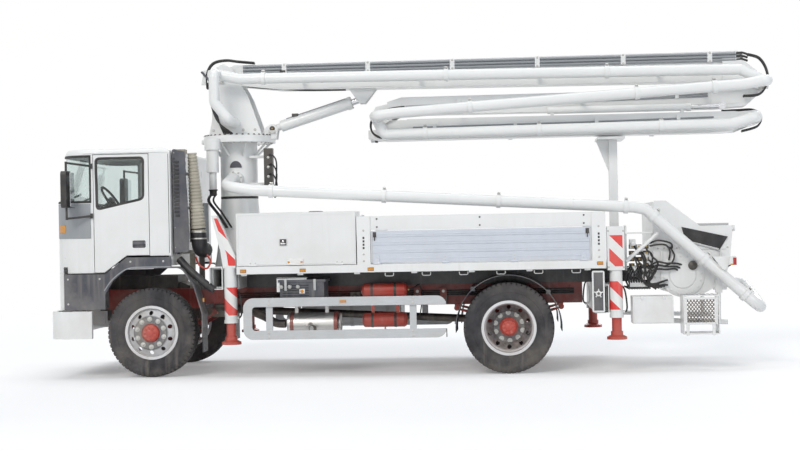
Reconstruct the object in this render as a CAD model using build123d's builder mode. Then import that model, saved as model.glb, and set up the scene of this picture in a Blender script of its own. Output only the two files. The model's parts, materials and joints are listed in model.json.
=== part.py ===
"""Concrete pump truck: a two-axle chassis with a short tilting cab, four telescopic support
legs, a slewing turret and a four-section folding placing boom. Millimetres, +Z up, ground at
Z = 0, the front towards -X, the driver's side (left) towards -Y."""

import os
from math import cos, radians, sin, sqrt

from build123d import *

# ---------------------------------------------------------------- driving dimensions
wheelbase = 4300
rear_axle_x = 1100
front_axle_x = rear_axle_x - wheelbase
body_width = 2460                  # over the cab, the cabinet and the dropsides
half_width = body_width / 2

tyre_radius = 538
tyre_width = 286
rim_radius = 305
front_wheel_y = half_width - 230   # centre of a front tyre
dual_outer_y = half_width - 160    # centre of the outer rear tyre
dual_spacing = 340

rail_outer_y = 425                 # outer face of a chassis rail
rail_bottom_z = tyre_radius + 252
rail_height = 250
rail_top_z = rail_bottom_z + rail_height
rail_flange = 80
rail_wall = 9

subframe_height = 165              # the pump frame's box rails on the chassis rails
bearer_z = rail_top_z + subframe_height
deck_z = bearer_z + 85             # top of the deck floor

cab_length = 1455
cab_front_x = front_axle_x - 1180
cab_rear_x = cab_front_x + cab_length
cab_floor_z = rail_top_z + 230
cab_height = 1495
cab_roof_z = cab_floor_z + cab_height
cab_wall = 38
cab_corner = 330
gap = 8                            # between a moving panel and its neighbours
tilt_pin = (cab_front_x + 80, rail_bottom_z + 90)    # X, Z of the pin that the cab tilts on

frame_front_x = cab_front_x + 130
frame_rear_x = rear_axle_x + 900
slew_x = front_axle_x + 900        # turret's vertical axis
slew_z = deck_z + 1615             # joint between pedestal and turret
pedestal_radius = 235
slew_ring_radius = 470
deck_front_x = slew_x + 170
deck_rear_x = rear_axle_x + 1150
subframe_front_x = slew_x - 260
subframe_rear_x = rear_axle_x + 1730

section_lengths = (6740, 4760, 4650, 4790)           # between hinges along X, folded
boom_root = (slew_x - 180, slew_z + 795)             # hinges in X, Z, folded
boom_a = (boom_root[0] + section_lengths[0], boom_root[1] - 260)
boom_b = (boom_a[0] - section_lengths[1], boom_a[1] - 320)
boom_c = (boom_b[0] + section_lengths[2], boom_b[1] - 100)
boom_tip_x = boom_c[0] - section_lengths[3]
section_3_y = -150                 # sections 3 and 4 fold side by side
section_4_y = 150

leg_y = half_width - 110           # centre of a support leg, legs in
leg_radius = 75
jack_radius = 58
foot_bottom_z = 385
beam_wall = 12
tunnel_wall = 10
slide_gap = 6

running_gap = 0.3                  # between a round pin or shaft and its hole


# ---------------------------------------------------------------- helpers
def block(x0, x1, y0, y1, z0, z1, mode=Mode.ADD):
    """A box between two corners, in the part that is being built."""
    with Locations(((x0 + x1) / 2, (y0 + y1) / 2, (z0 + z1) / 2)):
        Box(abs(x1 - x0), abs(y1 - y0), abs(z1 - z0), mode=mode)


def side(y=0.0):
    """A drawing plane seen from the left side: local x is X, local y is Z, extruding to -Y."""
    return Plane(origin=(0, y, 0), x_dir=(1, 0, 0), z_dir=(0, -1, 0))


def across(x=0.0):
    """A drawing plane seen from behind: local x is Y, local y is Z, extruding to +X."""
    return Plane.YZ.offset(x)


def plate(points, y0, y1, mode=Mode.ADD, radius=0):
    """A side outline given in X, Z, made solid from y0 to y1."""
    with BuildSketch(side(max(y0, y1))) as outline:
        Polygon(*points, align=None)
        if radius:
            fillet(outline.vertices(), radius)
    extrude(outline.sketch, amount=abs(y1 - y0), mode=mode)


def bar(start, end, radius, mode=Mode.ADD):
    """A round bar between two points."""
    axis = Vector(*end) - Vector(*start)
    with BuildSketch(Plane(origin=start, z_dir=axis)) as section:
        Circle(radius)
    extrude(section.sketch, amount=axis.length, mode=mode)


def pin_y(x, z, radius, y0, y1, mode=Mode.ADD):
    """A round bar or hole across the machine."""
    bar((x, min(y0, y1), z), (x, max(y0, y1), z), radius, mode)


def post_z(x, y, radius, z0, z1, mode=Mode.ADD):
    """A round bar or hole that stands upright."""
    bar((x, y, z0), (x, y, z1), radius, mode)


def pipe(points, radius, bend, wall=0):
    """A pipe along straight runs joined by bends, hollow if a wall is given."""
    with BuildLine() as route:
        if len(points) > 2:
            FilletPolyline(*points, radius=bend)
        else:
            Line(*points)
    start = route.line @ 0
    with BuildSketch(Plane(origin=start, z_dir=route.line % 0)) as section:
        Circle(radius)
        if wall:
            Circle(radius - wall, mode=Mode.SUBTRACT)
    sweep(section.sketch, path=route.line)


def along(start, end, distance):
    """The point at a distance from start on the way to end, in X, Z."""
    run = sqrt((end[0] - start[0]) ** 2 + (end[1] - start[1]) ** 2)
    share = distance / run
    return (start[0] + share * (end[0] - start[0]), start[1] + share * (end[1] - start[1]))


os.makedirs("parts", exist_ok=True)


def save(piece, name):
    """Names a finished piece and writes it to its own file."""
    piece.part.label = name
    export_step(piece.part, f"parts/{name}.step")


SIDES = [("left", -1), ("right", 1)]   # name, sign of Y

# ---------------------------------------------------------------- chassis frame
tilt_pin_radius = 20
tilt_reach = rail_outer_y + 75     # ends of the tilt pin, outside the cab's two lugs
with BuildPart() as chassis_frame:
    for _, s in SIDES:
        y_out, y_in = s * rail_outer_y, s * (rail_outer_y - rail_flange)
        web_in = s * (rail_outer_y - rail_wall)
        block(frame_front_x, frame_rear_x, web_in, y_out, rail_bottom_z, rail_top_z)
        block(frame_front_x, frame_rear_x, y_in, y_out, rail_bottom_z, rail_bottom_z + rail_wall)
        block(frame_front_x, frame_rear_x, y_in, y_out, rail_top_z - rail_wall, rail_top_z)
    # cross members, each a pressed channel that opens to the rear
    member_reach = rail_outer_y - rail_wall
    member_half, member_wall = 60, 10
    for x in (frame_front_x + 100, front_axle_x + 1500, front_axle_x + 2600,
              rear_axle_x - 650, rear_axle_x + 650):
        low, high = rail_bottom_z + 40, rail_top_z - 40
        block(x - member_half, x + member_half, -member_reach, member_reach, low, high)
        block(x - member_half + member_wall, x + member_half, -member_reach, member_reach,
              low + member_wall, high - member_wall, Mode.SUBTRACT)
    # the cross pin that the cab tilts on, between two brackets
    pin_y(*tilt_pin, tilt_pin_radius, -tilt_reach, tilt_reach)
    for s in (-1, 1):
        plate([(tilt_pin[0] - 24, tilt_pin[1] - 24), (frame_front_x + 1, tilt_pin[1] - 36),
               (frame_front_x + 1, tilt_pin[1] + 36), (tilt_pin[0] - 24, tilt_pin[1] + 24)],
              s * (rail_outer_y - 24), s * rail_outer_y)
save(chassis_frame, "chassis_frame")

# ---------------------------------------------------------------- axles and springs
spring_y = rail_outer_y - 30
spring_half = 640
spring_eye_z = rail_bottom_z - 45
leaf_height = 64


def leaf_spring(x, y, width, seat_z):
    """A leaf pack that hangs from two eyes and curves down to its seat."""
    with BuildSketch(side(y + width / 2)) as leaf:
        with BuildLine():
            ThreePointArc((x - spring_half, spring_eye_z), (x, seat_z + leaf_height),
                          (x + spring_half, spring_eye_z))
            Line((x + spring_half, spring_eye_z), (x + spring_half, spring_eye_z - 16))
            ThreePointArc((x + spring_half, spring_eye_z - 16), (x, seat_z),
                          (x - spring_half, spring_eye_z - 16))
            Line((x - spring_half, spring_eye_z - 16), (x - spring_half, spring_eye_z))
        make_face()
    extrude(leaf.sketch, amount=width)
    for end in (-1, 1):
        eye_x = x + end * spring_half
        pin_y(eye_x, spring_eye_z, 34, y - width / 2, y + width / 2)
        block(eye_x - 26, eye_x + 26, y - width / 2 - 6, y + width / 2 + 6,
              spring_eye_z + 20, rail_bottom_z)


kingpin_y = front_wheel_y - 180
kingpin_radius = 24
axle_boss_radius = 44
axle_half = 45                     # half the height and the length of the axle beam
axle_drop_z = tyre_radius - 108
with BuildPart() as front_axle:
    # a beam that dips between its two bosses
    knee_y = 520
    with BuildSketch(across(front_axle_x - axle_half)):
        with BuildLine():
            Polyline((-kingpin_y, tyre_radius + axle_half),
                     (-kingpin_y + 45, tyre_radius + axle_half),
                     (-knee_y, axle_drop_z + 50), (knee_y, axle_drop_z + 50),
                     (kingpin_y - 45, tyre_radius + axle_half),
                     (kingpin_y, tyre_radius + axle_half), (kingpin_y, tyre_radius - axle_half),
                     (kingpin_y - 30, tyre_radius - axle_half),
                     (knee_y + 20, axle_drop_z - 50), (-knee_y - 20, axle_drop_z - 50),
                     (-kingpin_y + 30, tyre_radius - axle_half),
                     (-kingpin_y, tyre_radius - axle_half), close=True)
        make_face()
    extrude(amount=2 * axle_half)
    for s in (-1, 1):
        post_z(front_axle_x, s * kingpin_y, axle_boss_radius,
               tyre_radius - axle_half, tyre_radius + axle_half)
        leaf_spring(front_axle_x, s * spring_y, 76, axle_drop_z + 46)
        post_z(front_axle_x, s * kingpin_y, kingpin_radius + running_gap,
               tyre_radius - axle_half - 1, tyre_radius + axle_half + 1, Mode.SUBTRACT)
save(front_axle, "front_axle")

rear_tube_radius = 78
spindle_radius = 50
with BuildPart() as rear_axle:
    pin_y(rear_axle_x, tyre_radius, rear_tube_radius, -480, 480)
    for s in (-1, 1):
        pin_y(rear_axle_x, tyre_radius, spindle_radius, s * 470, s * (dual_outer_y - 60))
        leaf_spring(rear_axle_x, s * spring_y, 76, tyre_radius + rear_tube_radius - 6)
    with Locations((rear_axle_x, 0, tyre_radius)):
        Sphere(215)
    bar((rear_axle_x - 150, 0, tyre_radius + 20), (rear_axle_x - 330, 0, tyre_radius + 40), 80)
save(rear_axle, "rear_axle")

# ---------------------------------------------------------------- engine, gearbox and shaft
gearbox_x = front_axle_x + 850     # rear end of the gearbox
shaft_z = rail_bottom_z - 45
engine = dict(x0=cab_front_x + 330, x1=cab_front_x + 1330, half=310,
              sump_z=rail_bottom_z - 150, z1=cab_floor_z - 70)
with BuildPart() as drivetrain:
    block(engine["x0"], engine["x1"], -engine["half"], engine["half"],
          rail_bottom_z - 20, engine["z1"])
    block(engine["x0"] + 60, engine["x1"] - 400, -200, 200, engine["sump_z"], rail_bottom_z - 20)
    with BuildSketch(across(engine["x1"])):
        with Locations((0, rail_bottom_z + 110)):
            Rectangle(420, 440)
    with BuildSketch(across(gearbox_x)):
        with Locations((0, shaft_z)):
            Rectangle(180, 180)
    loft()
    bar((gearbox_x, 0, shaft_z), (rear_axle_x - 342, 0, tyre_radius + 42), 48)
save(drivetrain, "drivetrain")

# ---------------------------------------------------------------- bumper and step panels
bumper_x = cab_front_x - 60
bumper_rear_x = cab_front_x + 480
bumper_z = (480, 810)
bumper_wall = 55
bumper_corner = 230
step_front_x = cab_front_x + 145
step_rear_x = step_front_x + 520
with BuildPart() as front_bumper:
    for inset, mode in ((0, Mode.ADD), (bumper_wall, Mode.SUBTRACT)):
        with BuildSketch(Plane.XY.offset(bumper_z[0])) as plan:
            with Locations(((bumper_x + bumper_rear_x) / 2 + inset, 0)):
                Rectangle(bumper_rear_x - bumper_x, body_width - 2 * inset)
            fillet(plan.vertices().group_by(Axis.X)[0], bumper_corner - inset)
        extrude(plan.sketch, amount=bumper_z[1] - bumper_z[0], mode=mode)
    for s in (-1, 1):
        block(bumper_x + bumper_wall - 5, frame_front_x + 60, s * (rail_outer_y - 30),
              s * rail_outer_y, rail_bottom_z - 230, rail_bottom_z - 10)
        # lamp recesses
        for y0, y1 in ((590, 370), (330, 190)):
            block(bumper_x - 5, bumper_x + 22, s * (half_width - y0), s * (half_width - y1),
                  600, 730, Mode.SUBTRACT)
    block(bumper_x - 5, bumper_x + 30, -260, 260, 560, 680, Mode.SUBTRACT)
save(front_bumper, "front_bumper")

# dark wheel-arch panels with their step, and the arch behind the front wheel
arch_y = (half_width - 325, half_width - 18)
arch_skin = 30
step_inner_rear_x = step_rear_x - 60   # leaves room for the steered tyre
step_z = (rail_bottom_z + 40, rail_bottom_z + 256)
guard_radius = tyre_radius + 92
sill_z = cab_floor_z + 206         # the door's sill behind its slanted foot
slant = (step_rear_x - 30, step_rear_x + 245)      # X where the sill starts and stops to rise
fender_top_z = sill_z - 24
fender_roof_z = fender_top_z - 122
band_x = front_axle_x + tyre_radius + 104
with BuildPart() as mudguards:
    for _, s in SIDES:
        y_out, y_in, y_skin = s * arch_y[1], s * arch_y[0], s * (arch_y[1] - arch_skin)
        plate([(step_front_x, step_z[0]), (step_rear_x - 20, step_z[0]),
               (step_rear_x - 20, step_z[0] + 180),
               (step_rear_x + 75, step_z[0] + 340), (slant[1] + 20, fender_roof_z),
               (cab_rear_x, fender_roof_z), (cab_rear_x, fender_top_z),
               (slant[1], fender_top_z), (step_rear_x - 10, cab_floor_z - 14),
               (step_front_x, cab_floor_z - 14)], y_out, y_skin)
        for z in step_z:
            block(step_front_x, step_inner_rear_x, y_in, y_skin, z, z + 18)
        block(step_front_x, step_inner_rear_x, y_in, s * (arch_y[0] + 16),
              step_z[0], cab_floor_z - 14)
        with BuildSketch(side(max(y_in, y_out))):
            with BuildLine() as band:
                FilletPolyline((band_x - 5, 480), (band_x, 760), (band_x - 95, rail_top_z + 50),
                               (band_x - 245, fender_roof_z - 8),
                               (slant[1] + 10, fender_roof_z - 8), radius=(60, 160, 120))
            trace(band.line, line_width=14)
        extrude(amount=abs(y_out - y_in))
        block(band_x - 57, band_x - 11, s * rail_outer_y, s * (arch_y[0] + 8),
              rail_bottom_z + 20, rail_bottom_z + 60)
        block(step_front_x + 135, step_front_x + 195, s * rail_outer_y, s * (arch_y[0] + 8),
              rail_bottom_z + 90, rail_bottom_z + 170)

    # the half-round guards over the rear wheels
    guard_skin, guard_low_angle = 8, -4
    for _, s in SIDES:
        y_out, y_in = s * (half_width - 8), s * (dual_outer_y - dual_spacing - 150)
        with BuildSketch(side(max(y_in, y_out))):
            with BuildLine():
                sweep_angle = 180 - 2 * guard_low_angle
                for radius in (guard_radius, guard_radius - guard_skin):
                    CenterArc((rear_axle_x, tyre_radius), radius, guard_low_angle, sweep_angle)
                for angle in (guard_low_angle, 180 - guard_low_angle):
                    c, n = cos(radians(angle)), sin(radians(angle))
                    Line((rear_axle_x + guard_radius * c, tyre_radius + guard_radius * n),
                         (rear_axle_x + (guard_radius - guard_skin) * c,
                          tyre_radius + (guard_radius - guard_skin) * n))
            make_face()
        extrude(amount=abs(y_out - y_in))
        for x in (rear_axle_x - 420, rear_axle_x + 470):
            reach = sqrt(guard_radius ** 2 - (x - rear_axle_x) ** 2)
            block(x - 25, x + 25, s * rail_outer_y, s * (half_width - 60),
                  tyre_radius + reach - 30, tyre_radius + reach + 22)
save(mudguards, "mudguards")

# ---------------------------------------------------------------- wheels and knuckles
barrel_half = 115
flange_thick = 7
flange_height = 20
disc_thick = 12
mount_face = dual_spacing / 2      # from a rim's centre to its mounting face
pilot_radius = 110                 # hole in the middle of a rim
disc_flat = 190                    # radius of the flat that is bolted to the hub
hand_holes = 10
hand_hole_radius = 25


def wheel_plane(x, y, outward):
    """A drawing plane through a wheel's axis: local x points outward, local y is the radius."""
    return Plane(origin=(x, y, tyre_radius), x_dir=(0, outward, 0), z_dir=(outward, 0, 0))


def tyre(x, y):
    """A tyre as one closed ring with its bead, bulged walls and flat tread."""
    w, seat = tyre_width / 2, rim_radius + running_gap
    height = tyre_radius - seat
    shoulder, widest, knee = seat + 0.89 * height, seat + 0.70 * height, seat + 0.54 * height
    bead = seat + flange_height + 12
    with BuildSketch(wheel_plane(x, y, 1)) as outline:
        with BuildLine():
            Polyline((-w + 6, knee), (-barrel_half, bead), (-barrel_half, seat),
                     (barrel_half, seat), (barrel_half, bead), (w - 6, knee))
            ThreePointArc((w - 6, knee), (w, widest), (w - 10, shoulder))
            Polyline((w - 10, shoulder), (w - 28, tyre_radius), (28 - w, tyre_radius),
                     (10 - w, shoulder))
            ThreePointArc((10 - w, shoulder), (-w, widest), (6 - w, knee))
        make_face()
    revolve(outline.sketch, axis=Axis((x, y, tyre_radius), (0, 1, 0)))


def rim(x, y, outward, dish):
    """A steel rim. dish is 1 if its disc stands out towards outward, -1 if it is sunk."""
    b, f, t = barrel_half, flange_thick, disc_thick
    lip, inner = rim_radius + flange_height, rim_radius - t
    d = dish
    with BuildSketch(wheel_plane(x, y, outward)) as outline:
        Polygon((-b - f, lip), (-b, lip), (-b, rim_radius), (b, rim_radius), (b, lip),
                (b + f, lip), (b + f, inner), (-b - f, inner), align=None)
        Polygon((d * 52, inner + 2), (d * 68, inner + 2), (d * mount_face, disc_flat),
                (d * mount_face, pilot_radius), (d * (mount_face - t), pilot_radius),
                (d * (mount_face - t), disc_flat - 7), align=None)
    axis = Axis((x, y, tyre_radius), (0, 1, 0))
    revolve(outline.sketch, axis=axis)
    with Locations(Plane(origin=(x, y, tyre_radius), z_dir=(0, outward, 0))):
        with PolarLocations((disc_flat + rim_radius) / 2 - 10, hand_holes):
            Cylinder(hand_hole_radius, 4 * barrel_half, mode=Mode.SUBTRACT)


def turned(x, y, outward, outline_points):
    """A turned piece on a wheel's axis, from its half outline."""
    with BuildSketch(wheel_plane(x, y, outward)) as outline:
        Polygon(*outline_points, align=None)
    revolve(outline.sketch, axis=Axis((x, y, tyre_radius), (0, 1, 0)))


hub_bore = 45
knuckle_half = 116                 # half the height of a steering knuckle
front_face_y = front_wheel_y + mount_face            # mounting face of a front rim
for side_name, s in SIDES:
    y = s * front_wheel_y
    with BuildPart() as front_tyre:
        tyre(front_axle_x, y)
    save(front_tyre, f"front_tyre_{side_name}")
    with BuildPart() as front_rim:
        rim(front_axle_x, y, s, 1)
        turned(front_axle_x, y, s,
               [(-95, hub_bore), (-95, 105), (60, 105), (mount_face - 30, 150),
                (mount_face - disc_thick, 150), (mount_face - disc_thick, pilot_radius),
                (mount_face + 22, pilot_radius - 8), (mount_face + 46, 78),
                (mount_face + 46, 0), (mount_face + 30, 0), (mount_face + 30, hub_bore)])
    save(front_rim, f"front_rim_{side_name}")
    with BuildPart() as knuckle:
        post_z(front_axle_x, s * kingpin_y, kingpin_radius,
               tyre_radius - knuckle_half, tyre_radius + knuckle_half)
        for z in (tyre_radius - knuckle_half, tyre_radius + knuckle_half - 46):
            block(front_axle_x - 48, front_axle_x + 48, s * (kingpin_y - 45),
                  s * (kingpin_y + 85), z, z + 46)
        block(front_axle_x - 60, front_axle_x + 60, s * (kingpin_y + axle_boss_radius + 14),
              s * (kingpin_y + 85), tyre_radius - knuckle_half, tyre_radius + knuckle_half)
        pin_y(front_axle_x, tyre_radius, 70, s * (kingpin_y + 85), s * (front_wheel_y - 100))
        pin_y(front_axle_x, tyre_radius, hub_bore - running_gap,
              s * (kingpin_y + 85), s * (front_face_y + 20))
        arm_z = tyre_radius - knuckle_half
        plate([(front_axle_x + 30, arm_z), (front_axle_x + 230, arm_z),
               (front_axle_x + 230, arm_z + 28), (front_axle_x + 30, arm_z + 36)],
              s * (kingpin_y - 45), s * (kingpin_y + 10))
    save(knuckle, f"steering_knuckle_{side_name}")

    with BuildPart() as rear_tyre:
        for y in (dual_outer_y, dual_outer_y - dual_spacing):
            tyre(rear_axle_x, s * y)
    save(rear_tyre, f"rear_tyre_{side_name}")
    with BuildPart() as rear_rim:
        rim(rear_axle_x, s * dual_outer_y, s, -1)
        rim(rear_axle_x, s * (dual_outer_y - dual_spacing), s, 1)
        face = -mount_face                           # where the two discs meet
        turned(rear_axle_x, s * dual_outer_y, s,
               [(face - 110, spindle_radius + running_gap), (face - 110, 150),
                (face - disc_thick, 150), (face - disc_thick, pilot_radius),
                (face + 90, pilot_radius), (face + 110, 85), (face + 165, 80),
                (face + 165, 0), (face + 140, 0), (face + 140, spindle_radius + running_gap)])
    save(rear_rim, f"rear_rim_{side_name}")

# ---------------------------------------------------------------- pump frame
# one weldment: two box rails on the chassis, the cross tunnels of the four support beams,
# the pedestal that carries the boom, and the post that the folded boom rests on
beam_width = 130                   # along the machine
front_beam = dict(z0=deck_z - 228, z1=deck_z + 10, stroke=1300)
rear_beam = dict(z0=rail_bottom_z - 78, z1=rail_bottom_z + 225, stroke=1150)
tunnel_half = beam_width / 2 + slide_gap + tunnel_wall
# a beam's X on each side: the pairs slide past each other
beam_pitch = tunnel_half + max(tunnel_half, leg_radius + slide_gap) + 6
front_left_x = slew_x + 75
front_right_x = front_left_x - beam_pitch
rear_left_x = rear_axle_x + 1268
rear_right_x = rear_left_x - beam_pitch
tunnel_reach = leg_y - 110         # how far a tunnel goes towards its own leg
tunnel_back = half_width - 60      # and towards the far side
# name, side, X of the beam and leg, beam, kind of head on the leg
LEGS = [("front_left", -1, front_left_x, front_beam, "slanted"),
        ("front_right", 1, front_right_x, front_beam, "slanted"),
        ("rear_left", -1, rear_left_x, rear_beam, "box"),
        ("rear_right", 1, rear_right_x, rear_beam, "plain")]
subframe_wall = 90
flange_thickness = 45
post_x = rear_left_x + 62          # the post of the boom rest
post_width = 105
pack_bottom_z = boom_b[1] - 288    # lowest point of the folded boom
rest_gap = 12
rest_z = pack_bottom_z - rest_gap
rest_thick = 30
port_y = 330                       # face where the delivery line enters the pedestal
port_z = slew_z - 505
neck_z = slew_z - 755
slew_drive = (slew_x - 250, -450)  # X, Y of the gearbox that turns the boom

with BuildPart() as pump_frame:
    for _, s in SIDES:
        block(subframe_front_x, subframe_rear_x, s * (rail_outer_y - subframe_wall),
              s * rail_outer_y, rail_top_z, bearer_z)
    member_reach = rail_outer_y - 10
    block(front_axle_x + 1650, front_axle_x + 1750, -member_reach, member_reach,
          rail_top_z + 20, bearer_z - 10)
    for _, s, x, beam, _ in LEGS:
        block(x - tunnel_half, x + tunnel_half, s * tunnel_reach, -s * tunnel_back,
              beam["z0"] - slide_gap - tunnel_wall, beam["z1"] + slide_gap + tunnel_wall)
    # pedestal: a wide folded base, a round column and the flange of the slewing ring
    with BuildSketch(Plane.XY.offset(rail_top_z)) as foot:
        with Locations((slew_x, 0)):
            Rectangle(620, 760)
        fillet(foot.vertices(), 60)
    with BuildSketch(Plane.XY.offset(neck_z)) as neck:
        with Locations((slew_x, 0)):
            Circle(pedestal_radius)
    loft([foot.sketch, neck.sketch])
    flange_z = slew_z - flange_thickness
    post_z(slew_x, 0, pedestal_radius, neck_z - 10, flange_z)
    post_z(slew_x, 0, slew_ring_radius, flange_z, slew_z - 1)
    ribs = 8
    for turn in range(ribs):
        angle = radians(360 * (turn + 0.5) / ribs)
        c, n = cos(angle), sin(angle)
        bar((slew_x + 0.88 * slew_ring_radius * c, 0.88 * slew_ring_radius * n, flange_z),
            (slew_x + pedestal_radius * c, pedestal_radius * n, slew_z - 205), 14)
    pin_y(slew_x, port_z, 98, 0, -port_y)
    # slewing gearbox and motor, hung beside the column from the flange
    post_z(*slew_drive, 100, slew_z - 145, slew_z - slide_gap)
    post_z(*slew_drive, 76, slew_z - 425, slew_z - 144)
    post_z(*slew_drive, 46, slew_z - 642, slew_z - 424)
    # rear cross box with the post of the boom rest
    block(deck_rear_x + 10, rear_left_x + 130, -560, 560, bearer_z, deck_z)
    block(post_x - post_width / 2, post_x + post_width / 2, -70, 70, deck_z, rest_z - rest_thick)
    plate([(post_x - 200, rest_z - 48), (post_x - post_width / 2, rest_z - 420),
           (post_x - post_width / 2, rest_z - rest_thick), (post_x - 200, rest_z - rest_thick)],
          -30, 30)
    block(post_x - 200, post_x + 130, -360, 360, rest_z - rest_thick, rest_z)
    # hangers of the rear tunnels, which lie below the box rails
    rear_tunnel_top = rear_beam["z1"] + slide_gap + tunnel_wall
    for s in (-1, 1):
        block(rear_right_x - tunnel_half, rear_left_x + tunnel_half,
              s * (rail_outer_y - subframe_wall), s * rail_outer_y,
              rear_tunnel_top - 2, rail_top_z + 2)
    # the hollow tunnels
    for _, s, x, beam, _ in LEGS:
        half = beam_width / 2 + slide_gap
        block(x - half, x + half, -half_width, half_width,
              beam["z0"] - slide_gap, beam["z1"] + slide_gap, Mode.SUBTRACT)
save(pump_frame, "pump_frame")

# ---------------------------------------------------------------- support legs
leg_top = {"slanted": deck_z + 40, "box": deck_z - 75, "plain": deck_z - 75}
leg_housing_top = deck_z + 425
slanted_head_top = deck_z + 645
sleeve_bottom_z = 640
foot_radius = leg_radius + 43
foot_thick = 95
for name, s, x, beam, head in LEGS:
    with BuildPart() as support_beam:
        half = beam_width / 2
        far_end = -s * (tunnel_back - 110)
        top = leg_top[head]
        block(x - half, x + half, s * (leg_y - 60), far_end, beam["z0"], beam["z1"])
        block(x - half + beam_wall, x + half - beam_wall, s * (leg_y - 240), far_end,
              beam["z0"] + beam_wall, beam["z1"] - beam_wall, Mode.SUBTRACT)
        post_z(x, s * leg_y, leg_radius, sleeve_bottom_z, top)
        # a collar round the sleeve's open end
        post_z(x, s * leg_y, leg_radius + 8, sleeve_bottom_z, sleeve_bottom_z + 40)
        if head == "slanted":
            plate([(x - 210, slanted_head_top), (x - 150, slanted_head_top),
                   (x + leg_radius, deck_z + 160), (x + leg_radius, deck_z + 10),
                   (x - leg_radius, deck_z + 10), (x - leg_radius - 30, deck_z + 210)],
                  s * (leg_y - 62), s * (leg_y + 62))
        elif head == "box":
            block(x - leg_radius - 25, x + leg_radius + 25, s * (leg_y - leg_radius - 15),
                  s * (leg_y + leg_radius + 15), deck_z - 90, leg_housing_top)
        post_z(x, s * leg_y, jack_radius + running_gap, sleeve_bottom_z - 1,
               top - 40, Mode.SUBTRACT)
    save(support_beam, f"support_beam_{name}")
    with BuildPart() as support_jack:
        collar = jack_radius + 14
        post_z(x, s * leg_y, jack_radius, foot_bottom_z + foot_thick - 20, leg_top[head] - 50)
        with BuildSketch(side(s * leg_y)) as pad:
            Polygon((x, foot_bottom_z), (x + foot_radius, foot_bottom_z),
                    (x + foot_radius, foot_bottom_z + 30), (x + collar, foot_bottom_z + 52),
                    (x + collar, foot_bottom_z + foot_thick),
                    (x, foot_bottom_z + foot_thick), align=None)
        revolve(pad.sketch, axis=Axis((x, s * leg_y, 0), (0, 0, 1)))
    save(support_jack, f"support_jack_{name}")

# ---------------------------------------------------------------- cab
cab_half = half_width - 40
floor_wall = 42
floor_rise = 75                    # the floor stands over the wheel arches
screen = dict(foot_z=cab_roof_z - 655, top_z=cab_roof_z - 85, lean=105,
              rear_x=cab_front_x + 478)
apron_z = rail_bottom_z + 40
apron_rear_x = cab_front_x + 110
door = dict(front_x=screen["rear_x"] + 42, rear_x=cab_rear_x - 265, top_z=cab_roof_z - 72)
door_outline = [(door["front_x"], cab_floor_z + 6), (slant[0], cab_floor_z + 6),
                (slant[1], sill_z), (door["rear_x"], sill_z),
                (door["rear_x"], door["top_z"]), (door["front_x"], door["top_z"])]
window_outline = [(door["front_x"] + 36, cab_roof_z - 729), (door["rear_x"] - 66, cab_roof_z - 609),
                  (door["rear_x"] - 58, door["top_z"] - 43),
                  (door["front_x"] + 30, door["top_z"] - 43)]
glass_depth = (12, 18)             # a pane's faces, in from the cab's outer face
rear_window = dict(half=430, z0=cab_roof_z - 715, z1=cab_roof_z - 285)
door_hinge = (door["front_x"] + 10, cab_half - 5)    # X, distance from the middle
hinge_knuckle = dict(radius=8, height=60)


def cab_plan(z, lean, inset):
    """The cab's outline at a height, its front corners rounded and its front leant back."""
    front, rear = cab_front_x + lean + inset, cab_rear_x - inset
    with BuildSketch(Plane.XY.offset(z)) as plan:
        with Locations(((front + rear) / 2, 0)):
            Rectangle(rear - front, 2 * (cab_half - inset))
        fillet(plan.vertices().group_by(Axis.X)[0], cab_corner - inset)
    return plan.sketch


def cab_form(inset):
    """The cab's closed outer form, each face moved in by inset."""
    with BuildPart() as form:
        floor = cab_floor_z + (floor_rise + floor_wall if inset else 0)
        extrude(cab_plan(apron_z, 0, inset), amount=screen["foot_z"] - apron_z)
        block(apron_rear_x, cab_rear_x + 10, -cab_half - 10, cab_half + 10,
              apron_z - 10, floor, Mode.SUBTRACT)
        loft([cab_plan(screen["foot_z"], 0, inset),
              cab_plan(cab_roof_z - inset, screen["lean"], inset)], ruled=True)
        roof_edges = form.faces().sort_by(Axis.Z)[-1].edges()
        fillet(roof_edges, max(70 - inset, 12))
    return form.part


cab_outer = cab_form(0)
cab_inner = cab_form(cab_wall)
glass_outer, glass_inner = cab_form(glass_depth[0]), cab_form(glass_depth[1])


def door_prism(s, grow):
    """The block that cuts one door out of the cab's side wall, made larger by grow."""
    with BuildPart() as prism:
        with BuildSketch(side(max(s * (cab_half - cab_wall), s * (cab_half + 40)))) as outline:
            Polygon(*door_outline, align=None)
            if grow:
                offset(amount=grow, kind=Kind.INTERSECTION)
        extrude(amount=cab_wall + 40)
    return prism.part


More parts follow.
